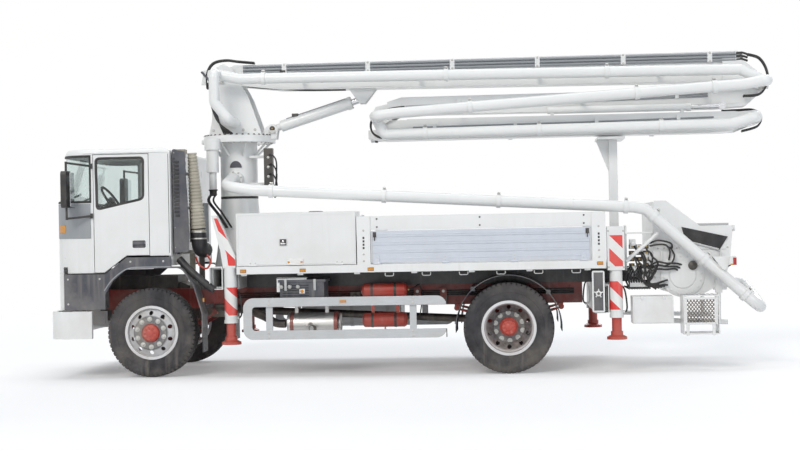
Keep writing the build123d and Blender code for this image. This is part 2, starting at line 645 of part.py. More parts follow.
with BuildPart() as cab_shell:
    add(cab_outer)
    add(cab_inner, mode=Mode.SUBTRACT)
    # one thin floor, open below to the engine, and an open wheel arch behind the door's foot
    block(apron_rear_x - 1, cab_rear_x + 60, -cab_half + cab_wall, cab_half - cab_wall,
          cab_floor_z - 60, cab_floor_z + floor_rise, Mode.SUBTRACT)
    toe_half = cab_half - cab_corner
    block(cab_front_x + cab_wall - 2, apron_rear_x + 2, -toe_half, toe_half,
          cab_floor_z + floor_rise, cab_floor_z + floor_rise + floor_wall)
    for s in (-1, 1):
        plate([(slant[0] - 14, cab_floor_z - 10), (slant[1] - 5, sill_z - gap),
               (cab_rear_x + 20, sill_z - gap), (cab_rear_x + 20, cab_floor_z - 10)],
              s * (cab_half - cab_wall), s * (cab_half + 20), Mode.SUBTRACT)
        add(door_prism(s, gap), mode=Mode.SUBTRACT)
        # the floor's edge stands back from the door
        inner_face = cab_half - cab_wall
        block(door["front_x"] - gap, door["rear_x"] + gap, s * (inner_face - gap),
              s * (inner_face + 1), cab_floor_z + floor_rise - 1,
              cab_floor_z + floor_rise + floor_wall + 1, Mode.SUBTRACT)
    # windscreen, wrapped round the corners, and the rear window
    block(cab_front_x - 20, screen["rear_x"], -cab_half - 20, cab_half + 20,
          screen["foot_z"] + 20, screen["top_z"], Mode.SUBTRACT)
    block(cab_rear_x - 80, cab_rear_x + 20, -rear_window["half"], rear_window["half"],
          rear_window["z0"], rear_window["z1"], Mode.SUBTRACT)
    # two lugs inside the apron, bored for the tilt pin
    lug_y = (tilt_reach - 60, tilt_reach - 15)
    for s in (-1, 1):
        pin_y(*tilt_pin, tilt_pin_radius + 18, s * lug_y[0], s * lug_y[1])
        plate([(cab_front_x + cab_wall - 2, tilt_pin[1] - 36), tilt_pin,
               (tilt_pin[0], tilt_pin[1] + 38), (cab_front_x + cab_wall - 2, tilt_pin[1] + 60)],
              s * lug_y[0], s * lug_y[1])
        pin_y(*tilt_pin, tilt_pin_radius + running_gap, s * (lug_y[0] - 1), s * (lug_y[1] + 1),
              Mode.SUBTRACT)
save(cab_shell, "cab_shell")

with BuildPart() as cab_glass:
    add(glass_outer)
    add(glass_inner, mode=Mode.SUBTRACT)
    block(cab_front_x - 20, screen["rear_x"], -cab_half - 20, cab_half + 20,
          screen["foot_z"] + 20, screen["top_z"], Mode.INTERSECT)
    block(cab_rear_x - glass_depth[1], cab_rear_x - glass_depth[0],
          -rear_window["half"], rear_window["half"],
          rear_window["z0"], rear_window["z1"])
save(cab_glass, "cab_glass")

for side_name, s in SIDES:
    with BuildPart() as cab_door:
        add(cab_outer)
        add(cab_inner, mode=Mode.SUBTRACT)
        add(door_prism(s, 0), mode=Mode.INTERSECT)
        plate(window_outline, s * (cab_half - 80), s * (cab_half + 20), Mode.SUBTRACT)
        # the handle's pull in its recess, and the two hinge knuckles
        handle_x, handle_z = door["rear_x"] - 125, sill_z + 134
        block(handle_x - 75, handle_x + 75, s * (cab_half - 16), s * (cab_half + 5),
              handle_z - 40, handle_z + 40, Mode.SUBTRACT)
        block(handle_x - 76, handle_x + 76, s * (cab_half - 6), s * (cab_half + 8),
              handle_z, handle_z + 30)
        for z in (cab_floor_z + 260, door["top_z"] - 230):
            post_z(door_hinge[0], s * door_hinge[1], hinge_knuckle["radius"],
                   z, z + hinge_knuckle["height"])
    save(cab_door, f"cab_door_{side_name}")
    with BuildPart() as door_glass:
        plate(window_outline, s * (cab_half - glass_depth[1]), s * (cab_half - glass_depth[0]))
    save(door_glass, f"door_glass_{side_name}")

floor_top = cab_floor_z + floor_rise + floor_wall
seat_y = cab_half - 630
seat_x = (cab_rear_x - 635, cab_rear_x - 155)
dash_x = cab_front_x + 180
wheel_centre = (dash_x + 400, -seat_y, floor_top + 760)
with BuildPart() as cab_interior:
    for y in (-seat_y, seat_y):
        block(*seat_x, y - 240, y + 240, floor_top, floor_top + 330)
        plate([(cab_rear_x - 225, floor_top + 330), (cab_rear_x - 95, floor_top + 1000),
               (cab_rear_x - 50, floor_top + 1000), (cab_rear_x - 115, floor_top + 330)],
              y - 225, y + 225)
        block(seat_x[0] - 30, seat_x[1] - 40, y - 250, y + 250, floor_top + 330, floor_top + 440)
    plate([(dash_x, floor_top + 560), (dash_x, floor_top + 640), (dash_x + 190, floor_top + 700),
           (dash_x + 270, floor_top + 640), (dash_x + 270, floor_top + 500),
           (dash_x + 160, floor_top + 480)], 110 - cab_half, cab_half - 110)
    block(dash_x + 10, dash_x + 110, -700, 700, floor_top, floor_top + 560)
    bar((wheel_centre[0] - 200, -seat_y, wheel_centre[2] - 140), wheel_centre, 28)
    with Locations(Plane(origin=wheel_centre, z_dir=(200, 0, 140))):
        Torus(215, 17)
        Cylinder(60, 30)
        Box(400, 40, 16)
save(cab_interior, "cab_interior")

mirror_x = cab_front_x + 230
mirror_y = cab_half + 155
pillar_x = (screen["rear_x"] + door["front_x"] - gap) / 2
with BuildPart() as mirrors:
    for s in (-1, 1):
        for z, rise in ((cab_roof_z - 205, 40), (cab_roof_z - 805, -30)):
            block(pillar_x - 14, pillar_x + 14, s * cab_half, s * (cab_half + 26), z - 30, z + 30)
            bar((pillar_x, s * (cab_half + 16), z), (mirror_x, s * mirror_y, z + rise), 13)
        post_z(mirror_x, s * mirror_y, 14, cab_roof_z - 850, cab_roof_z - 150)
        with BuildSketch(across(mirror_x - 40)):
            with Locations((s * mirror_y, cab_roof_z - 485)):
                RectangleRounded(200, 440, 45)
        extrude(amount=70)
save(mirrors, "mirrors")

# ---------------------------------------------------------------- air intake behind the cab
intake_x = cab_rear_x + 27
intake_y = (-half_width + 100, -half_width + 325)
intake_z = (sill_z + 4, cab_roof_z - 20)
with BuildPart() as intake_stack:
    # an upright panel with a slotted head
    block(intake_x, intake_x + 28, *intake_y, *intake_z)
    slots, slot_pitch = 9, 50
    for row in range(slots):
        z = intake_z[1] - 505 + slot_pitch * row
        block(intake_x - 1, intake_x + 12, intake_y[0] + 30, intake_y[1] - 30, z, z + 26,
              Mode.SUBTRACT)
    # the bellows behind it, ring by ring
    duct_x, duct_y = intake_x + 78, intake_y[0] + 130
    ring_pitch = 45
    rings = round((intake_z[1] - 55 - intake_z[0] - 220) / ring_pitch)
    for ring in range(rings):
        z = intake_z[0] + 220 + ring_pitch * ring
        post_z(duct_x, duct_y, 50 if ring % 2 else 44, z, z + ring_pitch)
    block(intake_x + 28, intake_x + 130, duct_y - 80, duct_y + 80, intake_z[1] - 55, intake_z[1])
    block(intake_x + 20, intake_x + 128, duct_y - 60, duct_y + 60,
          intake_z[0] + 20, intake_z[0] + 220)
    # its bracket, in to the chassis rail and down
    block(intake_x + 30, intake_x + 90, duct_y + 40, -rail_outer_y + 60,
          intake_z[0], intake_z[0] + 40)
    block(intake_x + 30, intake_x + 90, -rail_outer_y, -rail_outer_y + 60,
          rail_top_z, intake_z[0] + 40)
save(intake_stack, "intake_stack")

# ---------------------------------------------------------------- deck and dropsides
bed_front_x = deck_front_x + 1450  # where the dropsides start
bed_rear_x = deck_rear_x
post_width_x = 160
floor_plate = 20
side_hinge_z = deck_z + 40
dropside_top_z = deck_z + 425
dropside_thick = 30
bearer_width, bearers = 70, 7
hinge_y = half_width + 8           # axis of the dropsides' and the cabinet lid's hinges
hinge_radius = 9
board_z = (dropside_top_z + 10, dropside_top_z + 175)
with BuildPart() as deck:
    inner_y = half_width - 25
    block(deck_front_x, deck_rear_x, -inner_y, inner_y, deck_z - floor_plate, deck_z)
    bearer_pitch = (deck_rear_x - deck_front_x - 300) / (bearers - 1)
    for step in range(bearers):
        x = deck_front_x + 50 + step * bearer_pitch
        block(x, x + bearer_width, -inner_y, inner_y, bearer_z, deck_z - floor_plate)
    for _, s in SIDES:
        edge = s * half_width
        block(deck_front_x, deck_rear_x, s * inner_y, edge, bearer_z + 20, side_hinge_z - 12)
        for x in (bed_front_x, bed_rear_x - post_width_x):
            block(x, x + post_width_x, s * (half_width - 60), edge, side_hinge_z - 12, board_z[1])
        block(bed_front_x + post_width_x, bed_rear_x - post_width_x, s * (half_width - 50),
              s * (half_width - 20), *board_z)
    block(bed_front_x, bed_front_x + 30, -half_width + 60, half_width - 60, deck_z,
          dropside_top_z - 15)
    # room for the pedestal's foot
    block(deck_front_x - 1, slew_x + 325, -400, 400, bearer_z - 1, deck_z + 1, Mode.SUBTRACT)
save(deck, "deck")
side_x = (bed_front_x + post_width_x + gap, bed_rear_x - post_width_x - gap)
for side_name, s in SIDES:
    with BuildPart() as dropside:
        y_in, y_out = s * (half_width - dropside_thick + 2), s * (half_width + 2)
        block(*side_x, y_in, y_out, side_hinge_z + 6, dropside_top_z)
        for z in (side_hinge_z + 110, side_hinge_z + 205, side_hinge_z + 300):
            block(side_x[0] - 1, side_x[1] + 1, s * (half_width - 3), s * (half_width + 3),
                  z, z + 10, Mode.SUBTRACT)
        hinges = 4
        for step in range(hinges):
            x = side_x[0] + 70 + step * (side_x[1] - side_x[0] - 160) / (hinges - 1)
            bar((x - 45, s * hinge_y, side_hinge_z), (x + 45, s * hinge_y, side_hinge_z),
                hinge_radius)
            block(x - 30, x + 30, s * (half_width + 1), s * (hinge_y + 6), side_hinge_z,
                  side_hinge_z + 90)
    save(dropside, f"dropside_{side_name}")

# ---------------------------------------------------------------- tool cabinet and water tank
cabinet = dict(x0=deck_front_x, x1=bed_front_x - 10, z1=deck_z + 665, depth=480, wall=12)
lid_thick = 22
with BuildPart() as tool_cabinet:
    y_in, y_out = -half_width + cabinet["depth"], -half_width + lid_thick + 4
    block(cabinet["x0"], cabinet["x1"], y_out, y_in, deck_z, cabinet["z1"])
    w = cabinet["wall"]
    block(cabinet["x0"] + w, cabinet["x1"] - w, y_out - 5, y_in - w, deck_z + w,
          cabinet["z1"] - w, Mode.SUBTRACT)
save(tool_cabinet, "tool_cabinet")
with BuildPart() as cabinet_door:
    y_out = -half_width
    block(cabinet["x0"] + 4, cabinet["x1"] - 4, y_out, y_out + lid_thick,
          side_hinge_z - 6, cabinet["z1"] - 4)
    lock_x = (cabinet["x0"] + cabinet["x1"]) / 2 - 150
    block(lock_x - 45, lock_x + 45, y_out - 14, y_out + 2, deck_z + 270, deck_z + 350)
    for x in (cabinet["x0"] + 200, cabinet["x1"] - 200):
        bar((x - 45, -hinge_y, side_hinge_z), (x + 45, -hinge_y, side_hinge_z), hinge_radius)
        block(x - 45, x + 45, -hinge_y, y_out + 1, side_hinge_z, side_hinge_z + hinge_radius)
save(cabinet_door, "tool_cabinet_door")

# ---------------------------------------------------------------- side guards
guard_x = (deck_front_x + 70, rear_axle_x - 730)
guard_rails = [(442, 548), (832, 938)]     # Z of the lower and upper rail
guard_thick = 28
guard_y = half_width - 6
with BuildPart() as side_guards:
    for _, s in SIDES:
        low, high = guard_rails[0][0], guard_rails[1][1]
        depth = guard_rails[0][1] - low
        with BuildSketch(side(max(s * guard_y, s * (guard_y - guard_thick)))) as loop:
            mid = (low + high) / 2
            with Locations(((guard_x[0] + guard_x[1]) / 2, mid)):
                RectangleRounded(guard_x[1] - guard_x[0], high - low, 120)
                RectangleRounded(guard_x[1] - guard_x[0] - 2 * depth, high - low - 2 * depth,
                                 40, mode=Mode.SUBTRACT)
            with Locations((guard_x[1], mid)):
                Rectangle(2 * depth + 90, high - low - 2 * depth, mode=Mode.SUBTRACT)
        extrude(amount=guard_thick)
        for x in (guard_x[0] + 310, guard_x[1] - 400):
            block(x - 40, x + 40, s * (guard_y - guard_thick - 30), s * (guard_y - guard_thick),
                  low + 20, high - 10)
            block(x - 30, x + 30, s * rail_outer_y, s * (guard_y - guard_thick - 20), 860, 920)
save(side_guards, "side_guards")

# ---------------------------------------------------------------- what hangs on the rails
battery_x = (guard_x[0] + 440, guard_x[0] + 970)
hung_y = -half_width + 60          # outer face of what hangs on the left rail
with BuildPart() as battery_box:
    block(*battery_x, hung_y, -760, rail_bottom_z + 90, rail_top_z + 80)
    block(battery_x[0] - 20, battery_x[1] + 20, hung_y - 10, -750, rail_top_z + 80,
          rail_top_z + 110)
    for x in (battery_x[0] + 60, battery_x[1] - 90):
        block(x, x + 50, -770, -rail_outer_y, rail_bottom_z + 110, rail_bottom_z + 170)
save(battery_box, "battery_box")

muffler_x = (battery_x[0] + 60, battery_x[1] + 90)
muffler_y, muffler_z, muffler_radius = hung_y + 270, rail_bottom_z - 180, 132
with BuildPart() as muffler:
    bar((muffler_x[0], muffler_y, muffler_z), (muffler_x[1], muffler_y, muffler_z),
        muffler_radius)
    bar((muffler_x[1], muffler_y, muffler_z), (muffler_x[1] + 70, muffler_y, muffler_z), 60)
    for x in (muffler_x[0] + 80, muffler_x[1] - 110):
        block(x, x + 40, muffler_y - 30, muffler_y + 30, muffler_z + 125, muffler_z + 230)
        block(x, x + 40, muffler_y + 30, -rail_outer_y, muffler_z + 190, muffler_z + 230)
    outlet_x = (muffler_x[0] + muffler_x[1]) / 2
    bar((outlet_x, muffler_y - 110, muffler_z - 20), (outlet_x, muffler_y - 190, muffler_z - 50),
        45)
save(muffler, "muffler")

tank_radius = 86
tank_y = -rail_outer_y - 465
tank_x = (guard_x[1] - 1000, guard_x[1] - 520)
tank_z = (rail_top_z - 40, rail_bottom_z - 150)
with BuildPart() as air_tanks:
    for z in tank_z:
        bar((tank_x[0], tank_y, z), (tank_x[1], tank_y, z), tank_radius)
        for end, way in ((tank_x[0], -1), (tank_x[1], 1)):
            bar((end, tank_y, z), (end + way * 28, tank_y, z), tank_radius - 26)
    for x in (tank_x[0] + 70, tank_x[1] - 110):
        block(x, x + 36, tank_y + 70, tank_y + 110, tank_z[1] - 40, tank_z[0] + 40)
        block(x, x + 36, tank_y + 100, -rail_outer_y, rail_bottom_z + 90, rail_bottom_z + 140)
save(air_tanks, "air_tanks")

with BuildPart() as side_tanks:
    # the fuel tank on the right-hand rail
    fuel_x = (guard_x[0] + 460, guard_x[0] + 1760)
    fuel_y = half_width - 410
    with BuildSketch(across(fuel_x[0])):
        with Locations((fuel_y, rail_bottom_z - 50)):
            RectangleRounded(620, 520, 90)
    extrude(amount=fuel_x[1] - fuel_x[0])
    for x in (fuel_x[0] + 150, fuel_x[1] - 300):
        block(x, x + 60, rail_outer_y, fuel_y - 300, rail_bottom_z + 10, rail_top_z - 40)
    post_z(fuel_x[0] + 300, fuel_y + 80, 60, rail_top_z - 50, rail_top_z)
    # the water tank above it on the deck
    water_x = (cabinet["x0"] + 60, cabinet["x0"] + 1310)
    water_y = half_width - 300
    with BuildSketch(across(water_x[0])):
        with Locations((water_y, deck_z + 330)):
            RectangleRounded(520, 620, 120)
    extrude(amount=water_x[1] - water_x[0])
    for x in (water_x[0] + 170, water_x[1] - 280):
        block(x, x + 60, water_y - 200, water_y + 200, deck_z, deck_z + 24)
    post_z(water_x[0] + 620, water_y, 90, deck_z + 620, deck_z + 680)
save(side_tanks, "side_tanks")

# ---------------------------------------------------------------- concrete pump and hopper
pump_z = rail_top_z + 78
pump_y = 118
delivery_radius = 80
drive_radius = 62
hopper_front_x = rear_axle_x + 1740
drive_x = (slew_x + 1000, rear_axle_x - 620)         # the two drive cylinders
delivery_x = rear_axle_x - 220                       # front end of the concrete cylinders
with BuildPart() as pump_unit:
    for s in (-1, 1):
        bar((drive_x[0], s * pump_y, pump_z), (drive_x[1], s * pump_y, pump_z), drive_radius)
        bar((delivery_x, s * pump_y, pump_z), (hopper_front_x, s * pump_y, pump_z),
            delivery_radius)
        for x in (drive_x[0] - 30, (drive_x[0] + drive_x[1]) / 2, drive_x[1] - 40):
            block(x, x + 40, s * (pump_y - 78), s * (pump_y + 78), pump_z - 78, pump_z + 78)
    # the open water box between them
    inner = rail_outer_y - subframe_wall
    block(drive_x[1], delivery_x, -260, 260, pump_z - 80, pump_z + 80)
    block(drive_x[1] + 80, drive_x[1] + 140, -inner, inner, pump_z - 60, pump_z + 60)
    block(drive_x[1] + 40, delivery_x - 40, -230, 230, pump_z - 60, pump_z + 94, Mode.SUBTRACT)
    block(hopper_front_x - 60, hopper_front_x, -250, 250, pump_z - 110, pump_z + 110)
save(pump_unit, "pump_unit")

hopper_half = half_width - 450
hopper_wall = 14
outlet_z = rail_bottom_z + 210
outlet_radius = 100
bin_top_z = deck_z + 410
bin_length = 945
bin_rear_x = hopper_front_x + bin_length
# the bin's side: straight lid end, sloped front, rounded trough and upright rear
trough_z = bin_top_z - 828
bin_outline = [(hopper_front_x, bin_top_z), (hopper_front_x, trough_z + 258),
               (hopper_front_x + 120, trough_z + 58), (hopper_front_x + 340, trough_z),
               (hopper_front_x + 580, trough_z + 13), (bin_rear_x - 145, trough_z + 138),
               (bin_rear_x - 45, trough_z + 358), (bin_rear_x, bin_top_z)]
with BuildPart() as hopper:
    plate(bin_outline, -hopper_half, hopper_half)
    # hollowed by its walls and open above
    with BuildSketch(side(hopper_half - hopper_wall)) as hollow:
        Polygon(*bin_outline, align=None)
        offset(amount=-hopper_wall, kind=Kind.INTERSECTION)
    extrude(hollow.sketch, amount=2 * (hopper_half - hopper_wall), mode=Mode.SUBTRACT)
    block(hopper_front_x + hopper_wall, bin_rear_x - hopper_wall - 1, hopper_wall - hopper_half,
          hopper_half - hopper_wall, bin_top_z - hopper_wall - 1, bin_top_z + 1, Mode.SUBTRACT)
    hood_z = bin_top_z + 310
    for _, s in SIDES:
        # brackets to the pump frame's rails, the splash hood and the rims
        block(subframe_rear_x, hopper_front_x + 4, s * (rail_outer_y - 95), s * rail_outer_y,
              rail_top_z, bearer_z)
        plate([(hopper_front_x, bin_top_z - 2), (hopper_front_x + 20, hood_z),
               (hopper_front_x + 160, hood_z), (hopper_front_x + 560, bin_top_z - 2)],
              s * (hopper_half - hopper_wall), s * hopper_half)
        block(hopper_front_x + 310, bin_rear_x - 85, s * hopper_half, s * (hopper_half + 12),
              bin_top_z - 280, bin_top_z - 15)
        # stiffening ribs down the side wall
        for x in (hopper_front_x + 90, hopper_front_x + 230, bin_rear_x - 160):
            block(x, x + 12, s * hopper_half, s * (hopper_half + 34), trough_z + 360,
                  bin_top_z - 300)
    # rolled edge round the bin's mouth
    block(bin_rear_x - 6, bin_rear_x + 22, -hopper_half, hopper_half, bin_top_z - 40, bin_top_z)
    block(hopper_front_x, hopper_front_x + hopper_wall, -hopper_half, hopper_half,
          bin_top_z - 2, hood_z - 10)
    # the outlet under the trough's rear
    bar((bin_rear_x - 145, 0, outlet_z), (bin_rear_x + 15, 0, outlet_z), outlet_radius)
    bar((bin_rear_x - 225, 0, outlet_z), (bin_rear_x + 16, 0, outlet_z), outlet_radius - 22,
        Mode.SUBTRACT)
save(hopper, "hopper")

grate_z = bin_top_z + 16
grate_x = (hopper_front_x + 40, bin_rear_x - 45)
grate_hinge_x = hopper_front_x + hopper_wall + 19
grate_bars = 11
with BuildPart() as hopper_grate:
    pin_y(grate_hinge_x, grate_z + 2, 14, 60 - hopper_half, hopper_half - 60)
    for y in (-hopper_half + 40, hopper_half - 70):
        block(*grate_x, y, y + 30, grate_z - 14, grate_z + 14)
    for step in range(grate_bars):
        x = grate_x[0] + step * (grate_x[1] - grate_x[0] - 16) / (grate_bars - 1)
        block(x, x + 16, -hopper_half + 50, hopper_half - 50, grate_z - 12, grate_z + 12)
    for y in (-hopper_half / 2, 0, hopper_half / 2):
        block(*grate_x, y - 7, y + 7, grate_z - 12, grate_z + 12)
save(hopper_grate, "hopper_grate")

agitator_x, agitator_z = hopper_front_x + 460, trough_z + 358
with BuildPart() as agitator:
    shaft_end = hopper_half - hopper_wall - 6
    pin_y(agitator_x, agitator_z, 38, -shaft_end, shaft_end)
    paddle_reach = 230
    for y, tilt in ((-560, 25), (-330, 65), (330, 115), (560, 155)):
        c, n = cos(radians(tilt)), sin(radians(tilt))
        for way in (-1, 1):
            tip = (agitator_x + way * paddle_reach * c, agitator_z + way * paddle_reach * n)
            bar((agitator_x, y, agitator_z), (tip[0], y, tip[1]), 18)
save(agitator, "agitator")

# ---------------------------------------------------------------- delivery line, left side
line_radius = 68
line_y = 230 - half_width
line_start = (bin_rear_x + 17, 0, outlet_z)
line_knee = (rear_left_x + 232, line_y, deck_z + 648)       # where it levels out over the deck
line_front = (slew_x + 340, line_y, port_z - 165)
line_low = (bin_rear_x + 300, line_y, rail_bottom_z - 90)
line_high = (line_knee[0] + 135, line_y, line_knee[2] - 26)
collar_rise = 14                   # how far a coupling stands out from its pipe
collar_length = 52


def between(start, end, share):
    """The point at a share of the way from start to end."""
    return tuple(a + share * (b - a) for a, b in zip(start, end))


def pipe_collar(start, end, share, radius):
    """A coupling round a straight run of pipe, its place as a share of the run."""
    run = Vector(*end) - Vector(*start)
    half = collar_length / 2 / run.length
    bar(between(start, end, share - half), between(start, end, share + half),
        radius + collar_rise)


with BuildPart() as delivery_line:
    pipe([line_start, (bin_rear_x + 225, 0, outlet_z - 30), (bin_rear_x + 300, -420, outlet_z - 200),
          line_low, line_high, line_knee, line_front, (slew_x, line_y + 40, port_z - 110),
          (slew_x, -port_y - 160, port_z), (slew_x, -port_y, port_z)],
         line_radius, (90, 200, 180, 200, 60, 150, 150, 60))
    for share in (0.15, 0.5, 0.93):
        pipe_collar(line_low, line_high, share, line_radius)
    for share in (0.02, 0.35, 0.65, 0.95):
        pipe_collar(line_knee, line_front, share, line_radius)
save(delivery_line, "delivery_line")

# ---------------------------------------------------------------- turret
cheek_y = (182, 212)               # inner and outer face of a turret cheek
root_pin_radius = 50
boom_pin_radius = 42
lift_lug = (slew_x + 450, slew_z + 130)              # lower end of the lift cylinder, X, Z
lift_eye = (slew_x + 1600, boom_root[1] - 310)       # its rod eye under the first section
lift_pin_radius = 34
lug_y = (62, 92)                   # inner and outer face of a lug of the lift cylinder
base_top = slew_z + 45             # top of the turret's base plate
root_x, root_z = boom_root
cheek_outline = [(slew_x - 340, base_top - 5), (slew_x - 245, root_z - 320),
                 (root_x - 120, root_z - 70), (root_x - 110, root_z + 80),
                 (root_x + 40, root_z + 162), (slew_x - 30, root_z + 100),
                 (slew_x + 170, root_z - 270), (slew_x + 270, slew_z + 245),
                 (slew_x + 340, base_top - 5)]
section_pipe_radius = 66
pipe_bend = 70
swivel_gap = 6
doubler = 5                        # doubling plates on the boom's boxes
swivel_y = (-534, -534, -520)      # Y of the pipe swivels at the root and at hinges A and B
with BuildPart() as turret:
    post_z(slew_x, 0, slew_ring_radius - 30, slew_z, base_top)
    for s in (-1, 1):
        plate(cheek_outline, s * cheek_y[0], s * cheek_y[1])
        # bosses round the boom's root pin, and the lugs of the lift cylinder
        pin_y(*boom_root, root_pin_radius + 34, s * cheek_y[0], s * (cheek_y[1] + 10))
        plate([(slew_x, slew_z), (slew_x + 500, slew_z + 1), (lift_lug[0] + 70, lift_lug[1] + 10),
               (lift_lug[0], lift_lug[1] + 62), (lift_lug[0] - 70, lift_lug[1] + 30),
               (slew_x + 300, slew_z + 60)], s * lug_y[0], s * lug_y[1])
        block(slew_x, slew_x + 310, s * (lug_y[0] - 2), s * cheek_y[1], slew_z + 1, base_top - 1)
    pin_y(*lift_lug, lift_pin_radius, -lug_y[1], lug_y[1])
    pin_y(*boom_root, root_pin_radius, -cheek_y[1] - 22, cheek_y[1] + 22)
    # the cross wall between the cheeks
    block(slew_x - 300, slew_x - 260, -cheek_y[0] - 5, cheek_y[0] + 5, base_top, root_z - 360)
    # the riser passes out through the left cheek and turns in towards the boom's root pin
    riser_y, riser_z = -620, slew_z + 205
    pipe([(slew_x, 0, slew_z + 40), (slew_x, 0, riser_z), (slew_x, riser_y, riser_z),
          (root_x, riser_y, root_z - 360), (root_x, riser_y, root_z),
          (root_x, swivel_y[0] - swivel_gap, root_z)], section_pipe_radius, pipe_bend)
save(turret, "turret")

# ---------------------------------------------------------------- boom
# half the width of each section's box, from the first to the last
section_half = dict(zip((1, 2, 3, 4), (145, 140, 125, 110)))
fork_y = (150, 178)                # cheeks of a boom fork
pipe_y = (-450, -620, -420, 400)   # Y of the four sections' pipes
rod_gap = running_gap
ax, az = boom_a
bx, bz = boom_b
cx, cz = boom_c
# number: Y and Z of its axis, barrel's ends in X, rod's eye in X, radii. Each lies on the
# section before the one that it folds
BOOM_CYLINDERS = {
    2: dict(y=218, z=az + 220, barrel=(ax - 2360, ax - 960), eye=ax - 580, barrel_r=48, rod_r=28),
    3: dict(y=218, z=bz + 170, barrel=(bx + 2500, bx + 1060), eye=bx + 690, barrel_r=48, rod_r=28),
    4: dict(y=-232, z=cz + 146, barrel=(cx - 2530, cx - 770), eye=cx - 390, barrel_r=44,
            rod_r=26),
}


def section_box(points, half, centre=0):
    """A welded boom box from its side outline."""
    plate(points, centre - half, centre + half)


def hinge_boss(x, z, radius, y0, y1, bore):
    """A round boss with a bore for a hinge pin."""
    pin_y(x, z, radius, y0, y1)
    pin_y(x, z, bore + running_gap, y0 - 1, y1 + 1, Mode.SUBTRACT)


def boom_barrel(number, side_y):
    """A section's folding cylinder: its barrel with two feet, bored for the rod."""
    c = BOOM_CYLINDERS[number]
    way = 1 if c["eye"] > c["barrel"][0] else -1
    start, end = c["barrel"]
    bar((start, c["y"], c["z"]), (end, c["y"], c["z"]), c["barrel_r"])
    for x in (start + way * 60, end - way * 110):
        if number == 4:
            block(x - 20, x + 20, c["y"] - 30, c["y"] + 30, side_y, c["z"])
        else:
            block(x - 20, x + 20, side_y, c["y"], c["z"] - 30, c["z"] + 30)
    # the gland at the rod's end
    bar((end - way * 50, c["y"], c["z"]), (end, c["y"], c["z"]), c["barrel_r"] + 7)
    bar((start + way * 200, c["y"], c["z"]), (end + way, c["y"], c["z"]),
        c["rod_r"] + rod_gap, Mode.SUBTRACT)


with BuildPart() as boom_section_1:
    half, y = section_half[1], pipe_y[0]
    fork_root = ax - 480
    section_box([(root_x, root_z + 90), (root_x + 180, root_z + 145), (ax - 280, root_z + 150),
                 (ax - 220, root_z + 100), (ax - 220, root_z - 200), (ax - 360, root_z - 220),
                 (root_x + 780, root_z - 180), (root_x + 180, root_z - 110),
                 (root_x, root_z - 90)], half)
    pin_y(*boom_root, root_pin_radius + 46, -half - 20, half + 20)
    pin_y(*boom_root, root_pin_radius + running_gap, -200, 200, Mode.SUBTRACT)
    for s in (-1, 1):
        plate([(fork_root, root_z + 60), (ax - 260, root_z + 60), (ax + 96, az + 30),
               (ax + 70, az - 70), (ax - 60, az - 70), (ax - 300, root_z - 222),
               (fork_root, root_z - 222)], s * half, s * fork_y[1])
        # lugs of the lift cylinder's rod, and the doubling plates that carry them
        ex, ez = lift_eye
        plate([(ex - 180, root_z - 165), (ex + 200, root_z - 165), (ex + 70, ez - 20),
               (ex + 35, ez - 62), (ex - 35, ez - 62), (ex - 70, ez - 10)],
              s * lug_y[0], s * (lug_y[1] - 4))
        plate([(ex - 420, root_z - 168), (ex + 420, root_z - 168), (ex + 260, root_z - 60),
               (ex - 260, root_z - 60)], s * half, s * (half + doubler))
        plate([(root_x + 110, root_z + 105), (root_x + 700, root_z + 60),
               (root_x + 700, root_z - 60), (root_x + 110, root_z - 85)],
              s * half, s * (half + doubler))
    pin_y(ax, az, boom_pin_radius, -fork_y[1], fork_y[1])
    # delivery pipe, its brackets and the three lines above them
    run_start, run_end = (root_x + 280, y, root_z - 60), (ax - 310, y, root_z - 110)
    pipe([(root_x, swivel_y[0], root_z), (root_x, y, root_z), run_start, run_end, (ax, y, az),
          (ax, swivel_y[1] + swivel_gap, az)], section_pipe_radius, pipe_bend)
    for share in (0.05, 0.42, 0.74):
        pipe_collar(run_start, run_end, share, section_pipe_radius)
    for share in (0.12, 0.36, 0.6, 0.84):
        x, _, z = between(run_start, run_end, share)
        block(x, x + 30, y + 50, -half, z - 25, z + 25)
    for z in (root_z + 40, root_z + 80, root_z + 120):
        bar((root_x + 280, -half - 24, z), (ax - 310, -half - 24, z), 16)
    clamps = 6
    for step in range(clamps):
        x = root_x + 780 + step * (section_lengths[0] - 1440) / (clamps - 1)
        block(x, x + 60, -half - 44, -half, root_z + 15, root_z + 145)
    boom_barrel(2, half - 5)
save(boom_section_1, "boom_section_1")

